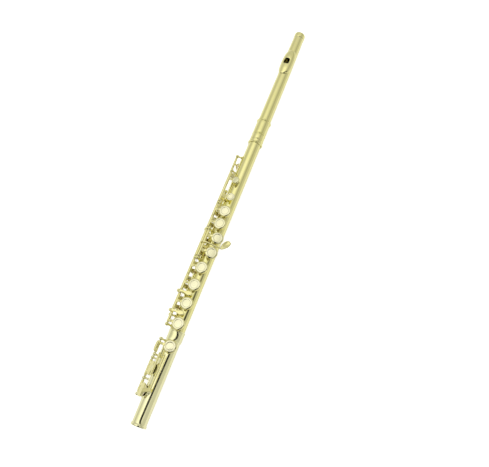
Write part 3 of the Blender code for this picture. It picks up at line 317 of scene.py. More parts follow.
def on_line(line, x=0.0):
    return polar(x, line.radius, line.angle)


def radial_frame(x, angle):
    """Frame whose Z points straight out of the tube at an angle."""
    return Matrix.Translation((x, 0.0, 0.0)) @ Matrix.Rotation(-angle, 4, "X")


def between(one, other):
    return 0.5 * (one + other)


ALONG_X = Matrix.Rotation(math.radians(90.0), 4, "Y")
STILL = Matrix.Identity(4)

FOOT_CSHARP_HOLE = Cup(tone_hole_x(2), FOOT_ROW_ANGLE, CUP_RADIUS, LARGE_HOLE_RADIUS)
FOOT_C_HOLE = FOOT_CSHARP_HOLE._replace(x=tone_hole_x(1) + LOWEST_HOLE_SHIFT)
FOOT_DSHARP_HOLE = FOOT_C_HOLE._replace(x=tone_hole_x(3), angle=FOOT_DSHARP_ANGLE)
D_HOLE = FOOT_C_HOLE._replace(x=tone_hole_x(4), angle=FRONT_ANGLE)
E_HOLE = D_HOLE._replace(x=tone_hole_x(5))
F_HOLE = D_HOLE._replace(x=tone_hole_x(6))
FSHARP_HOLE = D_HOLE._replace(x=tone_hole_x(7))
G_LOWER_HOLE = D_HOLE._replace(x=tone_hole_x(8), angle=OFFSET_G_ANGLE)
G_UPPER_HOLE = G_LOWER_HOLE._replace(x=tone_hole_x(9))
A_HOLE = D_HOLE._replace(x=tone_hole_x(10))
BFLAT_HOLE = D_HOLE._replace(x=tone_hole_x(11))
GSHARP_HOLE = Cup(tone_hole_x(8), GSHARP_ANGLE, BACK_CUP_RADIUS, BACK_HOLE_RADIUS)
THUMB_HOLE = GSHARP_HOLE._replace(x=tone_hole_x(12), angle=THUMB_ANGLE)
C_HOLE = Cup(tone_hole_x(13) + SMALL_HOLE_SHIFT, SMALL_HOLE_ANGLE, SMALL_CUP_RADIUS, SMALL_HOLE_RADIUS)
D_TRILL_HOLE = C_HOLE._replace(x=tone_hole_x(14) + SMALL_HOLE_SHIFT, angle=TRILL_ANGLE)
DSHARP_TRILL_HOLE = C_HOLE._replace(x=tone_hole_x(15) + SMALL_HOLE_SHIFT, angle=TRILL_ANGLE)
C_TOUCH_X = THUMB_HOLE.x + C_TOUCH_SHIFT

BODY_HOLES = (
    D_HOLE, E_HOLE, F_HOLE, FSHARP_HOLE, G_LOWER_HOLE, G_UPPER_HOLE, A_HOLE, BFLAT_HOLE,
    GSHARP_HOLE, THUMB_HOLE, C_HOLE, D_TRILL_HOLE, DSHARP_TRILL_HOLE,
)
FOOT_HOLES = (FOOT_C_HOLE, FOOT_CSHARP_HOLE, FOOT_DSHARP_HOLE)

# Stations along the tube and the places of the posts
LARGE_CHIMNEY_RADIUS = LARGE_HOLE_RADIUS + CHIMNEY_WALL
FOOT_SOCKET_END_X = D_HOLE.x - LARGE_CHIMNEY_RADIUS - CLEARANCE
BODY_END_X = FOOT_DSHARP_HOLE.x + LARGE_CHIMNEY_RADIUS + SOCKET_FLOOR_OFFSET
TRILL_POST_TOP_X = DSHARP_TRILL_HOLE.x + TRILL_POST_OFFSET
BARREL_START_X = TRILL_POST_TOP_X + BARREL_OFFSET
BARREL_END_X = BARREL_START_X + BARREL_LENGTH
BODY_TOP_X = BARREL_START_X + BARREL_SEAT
HEAD_TENON_X = BODY_TOP_X + TENON_GAP
TAPER_START_X = BARREL_END_X + STRAIGHT_HEAD
TOP_POST_X = C_HOLE.x + END_POST_OFFSET
C_POST_X = between(C_TOUCH_X, BFLAT_HOLE.x)
A_POST_X = between(A_HOLE.x, G_UPPER_HOLE.x)
G_POST_X = between(G_LOWER_HOLE.x, FSHARP_HOLE.x)
F_POST_X = between(F_HOLE.x, E_HOLE.x)
D_POST_X = FOOT_SOCKET_END_X + BALL_REACH
TRILL_POST_LOW_X = between(E_HOLE.x, D_HOLE.x) - TRILL_LOW_OFFSET
THUMB_POST_LOW_X = THUMB_HOLE.x - END_POST_OFFSET
THUMB_POST_TOP_X = THUMB_HOLE.x + THUMB_POST_OFFSET
FOOT_DSHARP_POSTS = (FOOT_DSHARP_HOLE.x - END_POST_OFFSET, BODY_END_X - 2.0 * POST_FOOT_RADIUS)
FOOT_POST_TOP_X = FOOT_CSHARP_HOLE.x + FOOT_POST_OFFSET
FOOT_POST_MID_X = between(FOOT_CSHARP_HOLE.x, FOOT_C_HOLE.x)
FOOT_POST_LOW_X = FOOT_C_HOLE.x - FOOT_LOW_POST_OFFSET


# Mesh building

def placed(name, data):
    """New object in the scene."""
    made = bpy.data.objects.new(name, data)
    bpy.context.scene.collection.objects.link(made)
    return made


def squared(turn, power):
    """Point of the unit circle, drawn out towards a square."""
    c, s = math.cos(turn), math.sin(turn)
    return math.copysign(abs(c) ** (2.0 / power), c), math.copysign(abs(s) ** (2.0 / power), s)


def on_spline(t, a, b, c, d):
    """Value between b and c on the smooth curve through four values."""
    square = 2 * a - 5 * b + 4 * c - d
    cube = 3 * b - a - 3 * c + d
    return 0.5 * (2 * b + (c - a) * t + square * t * t + cube * t ** 3)


def bar_profile(radius, start, end):
    return [(0.0, start), (radius, start), (radius, end), (0.0, end)]


def to_mesh(work):
    bmesh.ops.recalc_face_normals(work, faces=work.faces)
    mesh = bpy.data.meshes.new("shape")
    work.to_mesh(mesh)
    work.free()
    return mesh


def softened(profile, radius, steps=4):
    """Profile with its corners rounded off."""
    points = [Vector(point) for point in profile]
    result = [profile[0]]
    for before, corner, after in zip(points, points[1:], points[2:]):
        back, onward = before - corner, after - corner
        size = min(radius, 0.48 * back.length, 0.48 * onward.length)
        start = corner + back.normalized() * size
        end = corner + onward.normalized() * size
        for step in range(steps + 1):
            share = step / steps
            rest = 1.0 - share
            mixed = start * rest ** 2 + corner * (2.0 * share * rest) + end * share ** 2
            result.append((max(mixed.x, 0.0), mixed.y))
    result.append(profile[-1])
    return result


def divided(profile, step):
    """Profile with its long runs cut into even lengths."""
    result = [profile[0]]
    for (r0, h0), (r1, h1) in zip(profile, profile[1:]):
        count = max(1, round(math.hypot(r1 - r0, h1 - h0) / step))
        for index in range(1, count + 1):
            share = index / count
            result.append((r0 + (r1 - r0) * share, h0 + (h1 - h0) * share))
    return result


def lathe(profile, sides, place=ALONG_X):
    """Turns (radius, height) points round the place's Z. A radius of zero closes on the axis."""
    work = bmesh.new()
    rings = []
    for radius, height in profile:
        if radius == 0.0:
            rings.append([work.verts.new(place @ Vector((0.0, 0.0, height)))])
            continue
        ring = []
        for step in range(sides):
            turn = math.tau * step / sides
            point = Vector((radius * math.cos(turn), radius * math.sin(turn), height))
            ring.append(work.verts.new(place @ point))
        rings.append(ring)
    pairs = list(zip(rings, rings[1:]))
    if profile[0][0] > 0.0:
        pairs.append((rings[-1], rings[0]))
    for lower, upper in pairs:
        for step in range(sides):
            corners = [lower[step % len(lower)], lower[(step + 1) % len(lower)]]
            corners += [upper[(step + 1) % len(upper)], upper[step % len(upper)]]
            corners = list(dict.fromkeys(corners))
            if len(corners) > 2:
                work.faces.new(corners)
    return to_mesh(work)


def loft(rings, is_ring=False):
    """Closed body through rings of equal counts of points. In a ring, the last joins the first."""
    work = bmesh.new()
    made = [[work.verts.new(point) for point in ring] for ring in rings]
    count = len(made[0])
    onward = made[1:] + made[:1] if is_ring else made[1:]
    for lower, upper in zip(made, onward):
        for step in range(count):
            after = (step + 1) % count
            work.faces.new((lower[step], lower[after], upper[after], upper[step]))
    if not is_ring:
        work.faces.new(made[0])
        work.faces.new(made[-1])
    return to_mesh(work)


def curve_through(points, per_span):
    """Smooth run of points through the given ones, as tuples of any length."""
    result = []
    last = len(points) - 1
    for index in range(last):
        corners = [points[min(max(near, 0), last)] for near in range(index - 1, index + 3)]
        for step in range(per_span):
            result.append(tuple(on_spline(step / per_span, *values) for values in zip(*corners)))
    result.append(tuple(points[-1]))
    return result


def rounded_section(centre, side, up):
    """Ring of a rounded rectangle with half-sides side and up."""
    ring = []
    for step in range(SECTION_POINTS):
        along, across = squared(math.tau * (step + 0.5) / SECTION_POINTS, BAR_POWER)
        ring.append(centre + side * along + up * across)
    return ring


def ribbon(path, thickness, place=STILL, per_span=5, side_axis=Vector((1.0, 0.0, 0.0))):
    """Bar with rounded edges and ends along (x, y, z, width) points. Its width runs along an axis."""
    run = curve_through(path, per_span)
    centres = [Vector(point[:3]) for point in run]
    sections = []
    for index, point in enumerate(run):
        along = (centres[min(index + 1, len(run) - 1)] - centres[max(index - 1, 0)]).normalized()
        up = along.cross(side_axis).normalized() * (0.5 * thickness)
        sections.append((centres[index], side_axis * (0.5 * point[3]), up, along))
    rings = end_cap(sections[0], -1.0)
    rings += [rounded_section(centre, side, up) for centre, side, up, along in sections]
    rings += end_cap(sections[-1], 1.0)
    return loft([[place @ point for point in ring] for ring in rings])


def end_cap(section, sign):
    """Rings that round off the end of a bar."""
    centre, side, up, along = section
    reach = up.length
    rings = []
    for degrees in END_CAP_DEGREES:
        turn = math.radians(degrees)
        shrink = math.cos(turn)
        inset = 1.0 - (1.0 - shrink) * min(1.0, up.length / side.length)
        middle = centre + along * (sign * reach * math.sin(turn))
        rings.append(rounded_section(middle, side * inset, up * shrink))
    return rings if sign > 0.0 else rings[::-1]


def boolean(base, tools, operation):
    target = placed("work", base)
    helpers = []
    for tool in tools:
        helpers.append(placed("tool", tool))
        step = target.modifiers.new("step", "BOOLEAN")
        step.operation = operation
        step.solver = "MANIFOLD"
        step.object = helpers[-1]
    shaped = target.evaluated_get(bpy.context.evaluated_depsgraph_get())
    result = bpy.data.meshes.new_from_object(shaped)
    for helper in (target, *helpers):
        bpy.data.objects.remove(helper, do_unlink=True)
    return result


def union(base, *tools):
    return boolean(base, tools, "UNION") if tools else base


def cut(base, *tools):
    return boolean(base, tools, "DIFFERENCE")


def moved(mesh, place):
    mesh.transform(place if isinstance(place, Matrix) else Matrix.Translation(place))
    return mesh


def rod(start, end, radius, line):
    """Round bar with eased ends on a hinge line."""
    mesh = lathe(softened(bar_profile(radius, start, end), ROD_CORNER), ROD_SIDES)
    return moved(mesh, on_line(line))


# Materials

class Shading:
    """Node tree of a material or a world. Its methods take plain values or the outputs of nodes."""

    def __init__(self, owner):
        owner.use_nodes = True
        self.owner = owner
        self.tree = owner.node_tree

    def fill(self, node, inputs):
        """Sets a node's inputs, given by name or number."""
        for key, value in inputs.items():
            socket = node.inputs[key]
            if isinstance(value, bpy.types.NodeSocket):
                self.tree.links.new(value, socket)
            elif socket.type == "RGBA":
                socket.default_value = (*value, 1.0)
            else:
                socket.default_value = value

    def node(self, kind, inputs=None, **settings):
        made = self.tree.nodes.new("ShaderNode" + kind)
        for name, value in settings.items():
            setattr(made, name, value)
        self.fill(made, inputs or {})
        return made

    def calc(self, operation, *values):
        return self.node("Math", dict(enumerate(values)), operation=operation).outputs[0]

    def noise(self, scale, detail, stretch=(1.0, 1.0, 1.0)):
        """Noise in the piece's own coordinates. The scale counts features in a metre."""
        place = self.node("TexCoord").outputs["Object"]
        place = self.node("Mapping", {"Vector": place, "Scale": stretch}).outputs["Vector"]
        return self.node("TexNoise", {"Vector": place, "Scale": scale, "Detail": detail}).outputs["Fac"]

    def spread(self, value, start, end, low, high, is_smooth=False):
        """Takes the range from start to end to the range from low to high."""
        inputs = {"Value": value, "From Min": start, "From Max": end, "To Min": low, "To Max": high}
        kind = "SMOOTHSTEP" if is_smooth else "LINEAR"
        return self.node("MapRange", inputs, interpolation_type=kind).outputs["Result"]

    def vary(self, noise, low, high):
        """Takes the middle of a noise's range to the range from low to high."""
        return self.spread(noise, 0.3, 0.7, low, high)

    def mix(self, share, one, other):
        return self.node("Mix", {0: share, 6: one, 7: other}, data_type="RGBA").outputs[2]

    def bump(self, height, strength, distance, under=None):
        inputs = {"Height": height, "Strength": strength, "Distance": distance}
        if under:
            inputs["Normal"] = under
        return self.node("Bump", inputs).outputs["Normal"]

    def shader(self, inputs):
        """Sets the inputs of the material's own shader and gives the material."""
        self.fill(self.tree.nodes["Principled BSDF"], inputs)
        return self.owner


def lacquer_material(name, main, warm, rough, grain):
    """Polished metal under clear gold lacquer, with faint polishing lines and handling marks."""
    look = Shading(bpy.data.materials.new(name))
    cloud = look.vary(look.noise(60.0, 4.0), 0.0, 1.0)
    edges = look.node("NewGeometry").outputs["Pointiness"]
    wear = look.spread(edges, 0.53, 0.62, 0.0, 0.35)
    lines = look.bump(look.noise(900.0, 3.0, grain), 0.05, 0.02 * MM)
    return look.shader({
        "Metallic": 1.0,
        "Coat Weight": 0.25,
        "Coat Roughness": 0.06,
        "Base Color": look.mix(wear, look.mix(cloud, main, warm), WORN_EDGE),
        "Roughness": look.vary(look.noise(220.0, 6.0), 0.7 * rough, 1.5 * rough),
        "Normal": look.bump(look.noise(700.0, 2.0), 0.04, 0.05 * MM, lines),
    })


def steel_material():
    """Ground steel with turning lines."""
    look = Shading(bpy.data.materials.new("rod_steel"))
    cloud = look.vary(look.noise(300.0, 5.0), 0.0, 1.0)
    lines = look.noise(1500.0, 3.0, (4.0, 0.2, 0.2))
    return look.shader({
        "Metallic": 1.0,
        "Base Color": look.mix(cloud, (0.74, 0.72, 0.66), (0.62, 0.60, 0.54)),
        "Roughness": look.vary(lines, 0.22, 0.38),
        "Normal": look.bump(lines, 0.15, 0.03 * MM),
    })


def pad_material():
    """Thin skin over felt: cream, faintly wrinkled."""
    look = Shading(bpy.data.materials.new("pad_skin"))
    fibre = look.noise(900.0, 8.0)
    wrinkle = look.noise(500.0, 5.0, (1.0, 3.0, 1.0))
    return look.shader({
        "Subsurface Weight": 0.15,
        "Subsurface Radius": (1.2 * MM, 0.8 * MM, 0.4 * MM),
        "Sheen Weight": 0.2,
        "Base Color": look.mix(look.vary(fibre, 0.0, 1.0), (0.86, 0.77, 0.55), (0.93, 0.88, 0.72)),
        "Roughness": look.vary(fibre, 0.35, 0.6),
        "Normal": look.bump(wrinkle, 0.35, 0.2 * MM),
    })


def cork_material():
    """Natural cork: warm brown cells with dark flecks."""
    look = Shading(bpy.data.materials.new("cork_cells"))
    place = look.node("TexCoord").outputs["Object"]
    cells = look.node("TexVoronoi", {"Vector": place, "Scale": 900.0}).outputs["Distance"]
    flecks = look.spread(look.noise(350.0, 6.0), 0.45, 0.7, 0.0, 1.0)
    brown = look.mix(cells, (0.62, 0.43, 0.24), (0.45, 0.29, 0.15))
    return look.shader({
        "Base Color": look.mix(flecks, brown, (0.22, 0.12, 0.06)),
        "Roughness": look.spread(cells, 0.0, 1.0, 0.75, 0.95),
        "Normal": look.bump(cells, 0.5, 0.3 * MM),
    })


WORN_EDGE = (0.97, 0.95, 0.72)
TUBE_GRAIN = (6.0, 0.3, 0.3)
KEY_GRAIN = (0.5, 3.0, 3.0)

# Each lacquer's main colour, warmer patches, roughness and stretch of its polishing lines. The foot, cup
# and small cup lacquers are paler copies of the one gold lacquer: painted highlight where bright
# reflections fall.
LACQUERS = {
    "tube": ((0.90, 0.85, 0.34), (0.92, 0.86, 0.40), 0.08, TUBE_GRAIN),
    "foot": ((0.91, 0.88, 0.47), (0.93, 0.89, 0.53), 0.08, TUBE_GRAIN),
    "key": ((0.89, 0.82, 0.34), (0.92, 0.86, 0.42), 0.11, KEY_GRAIN),
    "cup": ((0.92, 0.88, 0.53), (0.94, 0.90, 0.60), 0.13, KEY_GRAIN),
    "small_cup_highlight": ((0.98, 0.95, 0.55), (0.98, 0.96, 0.62), 0.16, KEY_GRAIN),
}
KEY_LOOKS = ("key", "cup", "small_cup_highlight")
LOOK = {name: lacquer_material("lacquer_" + name, *values) for name, values in LACQUERS.items()}
LOOK.update(steel=steel_material(), pad=pad_material(), cork=cork_material())


def painted(mesh, look):
    """Gives a shape of a key one of the key looks, before shapes are joined."""
    for name in KEY_LOOKS:
        mesh.materials.append(LOOK[name])
    mesh.polygons.foreach_set("material_index", [KEY_LOOKS.index(look)] * len(mesh.polygons))
    return mesh


def clean(mesh):
    """Takes away the slivers of no width that cutting and joining leave."""
    work = bmesh.new()
    work.from_mesh(mesh)
    bmesh.ops.remove_doubles(work, verts=work.verts, dist=WELD_REACH)
    bmesh.ops.dissolve_degenerate(work, edges=work.edges, dist=WELD_REACH)
    on_edge = [vert for vert in work.verts if len(vert.link_edges) == 2]
    straight = [vert for vert in on_edge if vert.calc_edge_angle() < STRAIGHT_ANGLE]
    bmesh.ops.dissolve_verts(work, verts=straight)
    work.to_mesh(mesh)
    work.free()


def piece(name, mesh, look, body, *nodes):
    """Fine piece that rides on a body and stands for its nodes of the part."""
    clean(mesh)
    mesh.name = name
    if LOOK["cup"] not in mesh.materials[:]:
        mesh.materials.clear()
        mesh.materials.append(LOOK[look])
    mesh.shade_smooth()
    mesh.set_sharp_from_angle(angle=SHARP_ANGLE)
    made = placed(name, mesh)
    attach(made, body)
    if nodes:
        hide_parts(*nodes)
    return made


# Tubes and fittings

def drilled_tube(outline, bore, holes):
    """Turned tube with drawn chimneys that end in a rolled rim."""
    chimneys = []
    drills = []
    low = 0.4 * TUBE_RADIUS
    for hole in holes:
        place = radial_frame(hole.x, hole.angle)
        outer = hole.hole + CHIMNEY_WALL
        profile = [(0.0, low), (outer, low), (outer, RIM_HEIGHT - CHIMNEY_ROLL)]
        profile += [(outer + CHIMNEY_LIP, RIM_HEIGHT - 0.5 * CHIMNEY_ROLL)]
        profile += [(outer, RIM_HEIGHT), (0.0, RIM_HEIGHT)]
        chimneys.append(lathe(softened(profile, CHIMNEY_CORNER), CUP_SIDES, place))
        drills.append(lathe(bar_profile(hole.hole, 0.0, 2.0 * RIM_HEIGHT), CUP_SIDES, place))
    solid = union(lathe(divided(outline, TUBE_STEP), TUBE_SIDES), *chimneys)
    return cut(solid, lathe(bore, TUBE_SIDES), *drills)


def body_tube():
    outline = bar_profile(TUBE_RADIUS, BODY_END_X, BODY_TOP_X)
    bore = bar_profile(BORE_RADIUS, BODY_END_X - CLEARANCE, BODY_TOP_X + CLEARANCE)
    return drilled_tube(outline, bore, BODY_HOLES)


def foot_tube():
    floor = BODY_END_X - CLEARANCE
    rim = FOOT_SOCKET_END_X - FOOT_RIM_WIDTH
    rim_radius = SLEEVE_RADIUS + 0.5 * BEAD_HEIGHT
    bead_radius = TUBE_RADIUS + FOOT_END_BEAD_HEIGHT
    outline = [(0.0, 0.0), (TUBE_RADIUS + 0.6 * FOOT_END_BEAD_HEIGHT, 0.0)]
    outline += [(bead_radius, 0.25 * FOOT_END_BEAD), (bead_radius, 0.6 * FOOT_END_BEAD)]
    outline += [(TUBE_RADIUS, FOOT_END_BEAD), (TUBE_RADIUS, floor - BEAD_BEVEL)]
    outline += [(SLEEVE_RADIUS, floor), (SLEEVE_RADIUS, rim), (rim_radius, rim + FOOT_RIM_BEVEL)]
    outline += [(rim_radius, FOOT_SOCKET_END_X - FOOT_RIM_BEVEL)]
    outline += [(SLEEVE_RADIUS, FOOT_SOCKET_END_X), (0.0, FOOT_SOCKET_END_X)]
    bore = [(0.0, -CLEARANCE), (BORE_RADIUS, -CLEARANCE), (BORE_RADIUS, floor), (SLEEVE_BORE, floor)]
    bore += [(SLEEVE_BORE, FOOT_SOCKET_END_X + CLEARANCE), (0.0, FOOT_SOCKET_END_X + CLEARANCE)]
    return drilled_tube(softened(outline, FOOT_TUBE_CORNER, 3), bore, FOOT_HOLES)


def collar(start, end, radius, height):
    """Raised ring with a fine groove at either foot."""
    slope = 0.25 * (end - start)
    floor = radius - FINE_GROOVE
    points = [(radius, start - 2.0 * FINE_GROOVE), (floor, start - FINE_GROOVE), (radius, start)]
    points += [(radius + height, start + slope), (radius + height, end - slope)]
    return points + [(radius, end), (floor, end + FINE_GROOVE), (radius, end + 2.0 * FINE_GROOVE)]


def barrel():
    """Slim sleeve with a ring at either end, a low ring at its middle and a fine line below that."""
    skin = SLEEVE_BORE + BARREL_SKIN
    start, end = BARREL_START_X, BARREL_END_X - BARREL_SETBACK
    low, high = start + BARREL_RING_INSET, end - BARREL_RING_INSET
    line, middle = start + BARREL_LINE_OFFSET, start + BARREL_MIDDLE_OFFSET
    ring = BARREL_RING_WIDTH
    profile = [(SLEEVE_BORE, start), (skin, start)]
    profile += collar(low, low + ring, skin, BARREL_RING_HEIGHT)
    profile += collar(line, line + 0.5 * ring, skin, BARREL_LINE_HEIGHT)
    profile += collar(middle, middle + 0.8 * ring, skin, BARREL_MIDDLE_HEIGHT)
    profile += collar(high - ring, high, skin, BARREL_RING_HEIGHT)
    profile += [(skin, end), (SLEEVE_BORE, end)]
    return lathe(divided(softened(profile, BARREL_CORNER, 3), TUBE_STEP), TUBE_SIDES)


def head_bore(x):
    """Bore of the head joint: straight, then narrowing along a parabola to the crown."""
    if x <= TAPER_START_X:
        return BORE_RADIUS
    share = (x - TAPER_START_X) / (HEAD_END_X - TAPER_START_X)
    return BORE_RADIUS + (CROWN_BORE_RADIUS - BORE_RADIUS) * share * share


def head_radius(x):
    return head_bore(x) + TUBE_WALL


def lip_point(along, arc, height):
    """Point over the head tube, at an arc length round it from the embouchure and a height above it."""
    x = EMBOUCHURE_X + along
    return polar(x, head_radius(x) + height, LIP_ANGLE + arc / (head_radius(x) + LIP_HEIGHT))


def oval(half_length, half_width, turn, power=OVAL_POWER):
    """Point of a squared oval."""
    along, across = squared(turn, power)
    return half_length * along, half_width * across


def mouth_ring(grow, count):
    """Points of the mouth hole's outline grown by a distance."""
    half_length, half_width = MOUTH_HALF_LENGTH + grow, MOUTH_HALF_WIDTH + grow
    return [oval(half_length, half_width, math.tau * step / count, MOUTH_POWER) for step in range(count)]


def head_tube():
    length = HEAD_END_X - HEAD_TENON_X
    count = round(length / TUBE_STEP)
    stations = [HEAD_TENON_X + length * step / count for step in range(count + 1)]
    profile = [(head_radius(x), x) for x in stations]
    profile += [(head_bore(x), x) for x in reversed(stations)]
    lean = Matrix.Rotation(-LIP_ANGLE, 4, "X")
    hole = mouth_ring(0.0, CUP_SIDES)
    rings = []
    for height in (0.0, TUBE_RADIUS + LIP_HEIGHT):
        rings.append([lean @ Vector((EMBOUCHURE_X + along, across, height)) for along, across in hole])
    return cut(lathe(profile, TUBE_SIDES), loft(rings))


def lip_plate():
    """Curved plate round the mouth hole that falls away to its rounded edge."""
    hole = mouth_ring(0.0, LIP_SIDES)
    rings = []
    for side, order in ((0.5, LIP_SHARES), (-0.5, LIP_SHARES[::-1])):
        for share in order:
            ring = []
            edge = math.sqrt(max(0.02, 1.0 - share ** 12))
            thin = LIP_THICKNESS * edge * min(1.0, 0.35 + 12.0 * share)
            level = LIP_HEIGHT - 0.5 * LIP_THICKNESS + side * thin
            for step, (along, across) in enumerate(hole):
                turn = math.tau * step / LIP_SIDES
                far_along, far_across = oval(LIP_HALF_LENGTH, LIP_HALF_WIDTH, turn)
                mixed = (along + (far_along - along) * share, across + (far_across - across) * share)
                drop = LIP_EDGE_DROP + LIP_END_DROP * (far_along / LIP_HALF_LENGTH) ** 2
                ring.append(lip_point(*mixed, level - drop * share ** 3))
            rings.append(ring)
    return loft(rings, is_ring=True)


def embouchure_riser():
    """Short oval wall between the head tube and the lip plate."""
    low, top = -RISER_SHIFT, LIP_HEIGHT - LIP_THICKNESS - RISER_SHIFT
    waist = (0.8 * RISER_WALL, 0.5 * top)
    rings = []
    for wall, height in ((0.0, low), (RISER_WALL, low), waist, (RISER_WALL, top), (0.0, top)):
        outline = mouth_ring(wall, RISER_SIDES)
        rings.append([lip_point(along, across, height) for along, across in outline])
    return loft(rings, is_ring=True)


def crown():
    """Cap with a plug that fits the head tube and a blind hole for the stopper's screw."""
    plug_start = HEAD_END_X - CROWN_PLUG_LENGTH
    shoulder = HEAD_END_X + CLEARANCE
    plug_radius = CROWN_BORE_RADIUS - CLEARANCE
    hole = STOPPER_SCREW_RADIUS + CLEARANCE
    length = CROWN_END_X - shoulder
    hole_end = shoulder + CROWN_HOLE_DEPTH
    profile = [(0.0, hole_end), (hole, hole_end), (hole, plug_start), (plug_radius, plug_start)]
    profile += [(plug_radius, shoulder)]
    for share, reached in CROWN_SHAPE:
        profile.append((share * CROWN_RADIUS, shoulder + reached * length))
    profile += [(CROWN_FACE_RADIUS, CROWN_END_X), (0.0, CROWN_END_X)]
    return lathe(softened(profile, CROWN_CORNER), TUBE_SIDES)


def stopper_cork():
    start = STOPPER_FACE_X + STOPPER_PLATE + CLEARANCE
    end = start + CORK_LENGTH
    hole = STOPPER_SCREW_RADIUS + CLEARANCE
    low, high = head_bore(start) - CLEARANCE, head_bore(end) - CLEARANCE
    profile = [(hole, start), (low, start), (between(low, high), between(start, end))]
    profile += [(high, end), (hole, end)]
    return lathe(softened(profile, CORK_CORNER), TUBE_SIDES)


def stopper_screw():
    """Round plate with a threaded rod behind it."""
    end = HEAD_END_X + CROWN_HOLE_DEPTH - STOPPER_TRAVEL
    back = STOPPER_FACE_X + STOPPER_PLATE
    face = head_bore(back) - 2.0 * CLEARANCE
    profile = [(0.0, STOPPER_FACE_X), (face, STOPPER_FACE_X), (face, back), (STOPPER_SCREW_RADIUS, back)]
    for turn in range(1, int((end - back) / SCREW_PITCH)):
        radius = STOPPER_SCREW_RADIUS - (SCREW_DEPTH if turn % 2 else 0.0)
        profile.append((radius, back + turn * SCREW_PITCH))
    return lathe(profile + [(STOPPER_SCREW_RADIUS, end), (0.0, end)], ROD_SIDES)


def stopper_washer():
    start = STOPPER_FACE_X + STOPPER_PLATE + CORK_LENGTH + 2.0 * CLEARANCE
    end = start + STOPPER_PLATE
    hole = STOPPER_SCREW_RADIUS + CLEARANCE
    edge = head_bore(end) - 2.0 * CLEARANCE
    profile = [(hole, start), (edge, start), (edge, end), (hole, end)]
    return lathe(softened(profile, WASHER_CORNER), TUBE_SIDES)


# Ribs, posts and rods

def strap(start, end, angle):
    """Rib that lies along the tube, curved to it, with eased edges."""
    half = 0.5 * RIB_WIDTH / RIB_TOP
    stations = [(start, RIB_EASE), (start + RIB_EASE, 0.0), (end - RIB_EASE, 0.0), (end, RIB_EASE)]
    rings = []
    for x, shrink in stations:
        inner = half - shrink / RIB_TOP
        turns = [angle + inner * share for share in (-1.0, -0.9, -0.45, 0.0, 0.45, 0.9, 1.0)]
        lifts = [RIB_EASE, 0.0, 0.0, 0.0, 0.0, 0.0, RIB_EASE]
        ring = [polar(x, RIB_TOP - lift - shrink, turn) for turn, lift in zip(turns, lifts)]
        ring += [polar(x, RIB_BOTTOM, turn) for turn in reversed(turns)]
        rings.append(ring)
    return loft(rings)


def post(x, line, foot_angle, ball_radius):
    """Turned post: a flared foot, a waist and a ball head on a hinge line."""
    head = on_line(line, x)
    lean = (head - polar(x, RIB_TOP, foot_angle)).angle(polar(0.0, RIB_TOP, foot_angle))
    foot = polar(x, between(RIB_BOTTOM, RIB_TOP) + POST_FOOT_RADIUS * math.sin(lean), foot_angle)
    along = head - foot
    place = Matrix.Translation(foot) @ along.to_track_quat("Z", "Y").to_matrix().to_4x4()
    length = along.length
    neck = length - ball_radius
    profile = [(0.0, 0.0), (POST_FOOT_RADIUS, 0.0), (POST_FOOT_RADIUS, 0.25 * neck)]
    profile += [(POST_NECK_RADIUS, 0.5 * neck), (POST_NECK_RADIUS, 0.8 * neck)]
    profile += [(1.25 * POST_NECK_RADIUS, 0.95 * neck)]
    for degrees in range(150, 0, -15):
        turn = math.radians(degrees)
        profile.append((ball_radius * math.sin(turn), length + ball_radius * math.cos(turn)))
    profile.append((0.0, length + ball_radius))
    return lathe(profile, POST_SIDES, place)


def rib(start, end, angle, posts):
    """Rib with its posts, drilled for the rods. Each post is (x, line, bore radius)."""
    solids = []
    drills = []
    for x, line, bore in posts:
        ball_radius = POST_BALL_RADIUS - STEEL_BORE + bore
        reach = ball_radius + CLEARANCE
        solids.append(post(x, line, angle + POST_LEAN * (line.angle - angle), ball_radius))
        drills.append(rod(x - reach, x + reach, bore, line))
    return cut(union(strap(start, end, angle), *solids), *drills)


def left_hand_rib():
    trill_bore = TRILL_TUBE_RADIUS + CLEARANCE
    posts = [(x, MAIN_LINE, STEEL_BORE) for x in (TOP_POST_X, C_POST_X, A_POST_X, G_POST_X)]
    posts += [(x, G_LINE, STEEL_BORE) for x in (A_POST_X, G_POST_X)]
    posts += [(TRILL_POST_TOP_X, TRILL_LINE, STEEL_BORE), (A_POST_X, TRILL_LINE, trill_bore)]
    return rib(G_POST_X - BALL_REACH, TRILL_POST_TOP_X + BALL_REACH, RIB_ANGLE, posts)


def right_hand_rib():
    posts = [(F_POST_X, MAIN_LINE, STEEL_BORE), (D_POST_X, MAIN_LINE, STEEL_BORE)]
    posts.append((TRILL_POST_LOW_X, TRILL_LINE, STEEL_BORE))
    return rib(FOOT_SOCKET_END_X + CLEARANCE, G_POST_X - BALL_REACH - CLEARANCE, RIB_ANGLE, posts)


def thumb_rib():
    posts = [(x, THUMB_LINE, STEEL_BORE) for x in (THUMB_POST_LOW_X, THUMB_POST_TOP_X)]
    return rib(THUMB_POST_LOW_X - BALL_REACH, THUMB_POST_TOP_X + BALL_REACH, THUMB_LINE.angle, posts)


def foot_dsharp_rib():
    low, high = FOOT_DSHARP_POSTS
    posts = [(x, FOOT_DSHARP_LINE, STEEL_BORE) for x in FOOT_DSHARP_POSTS]
    return rib(low - POST_FOOT_RADIUS, high + POST_FOOT_RADIUS, FOOT_DSHARP_RIB_ANGLE, posts)


def foot_rib():
    posts = [(x, FOOT_LINE, STEEL_BORE) for x in (FOOT_POST_LOW_X, FOOT_POST_MID_X, FOOT_POST_TOP_X)]
    return rib(FOOT_POST_LOW_X - BALL_REACH, FOOT_POST_TOP_X + BALL_REACH, FOOT_LINE.angle, posts)


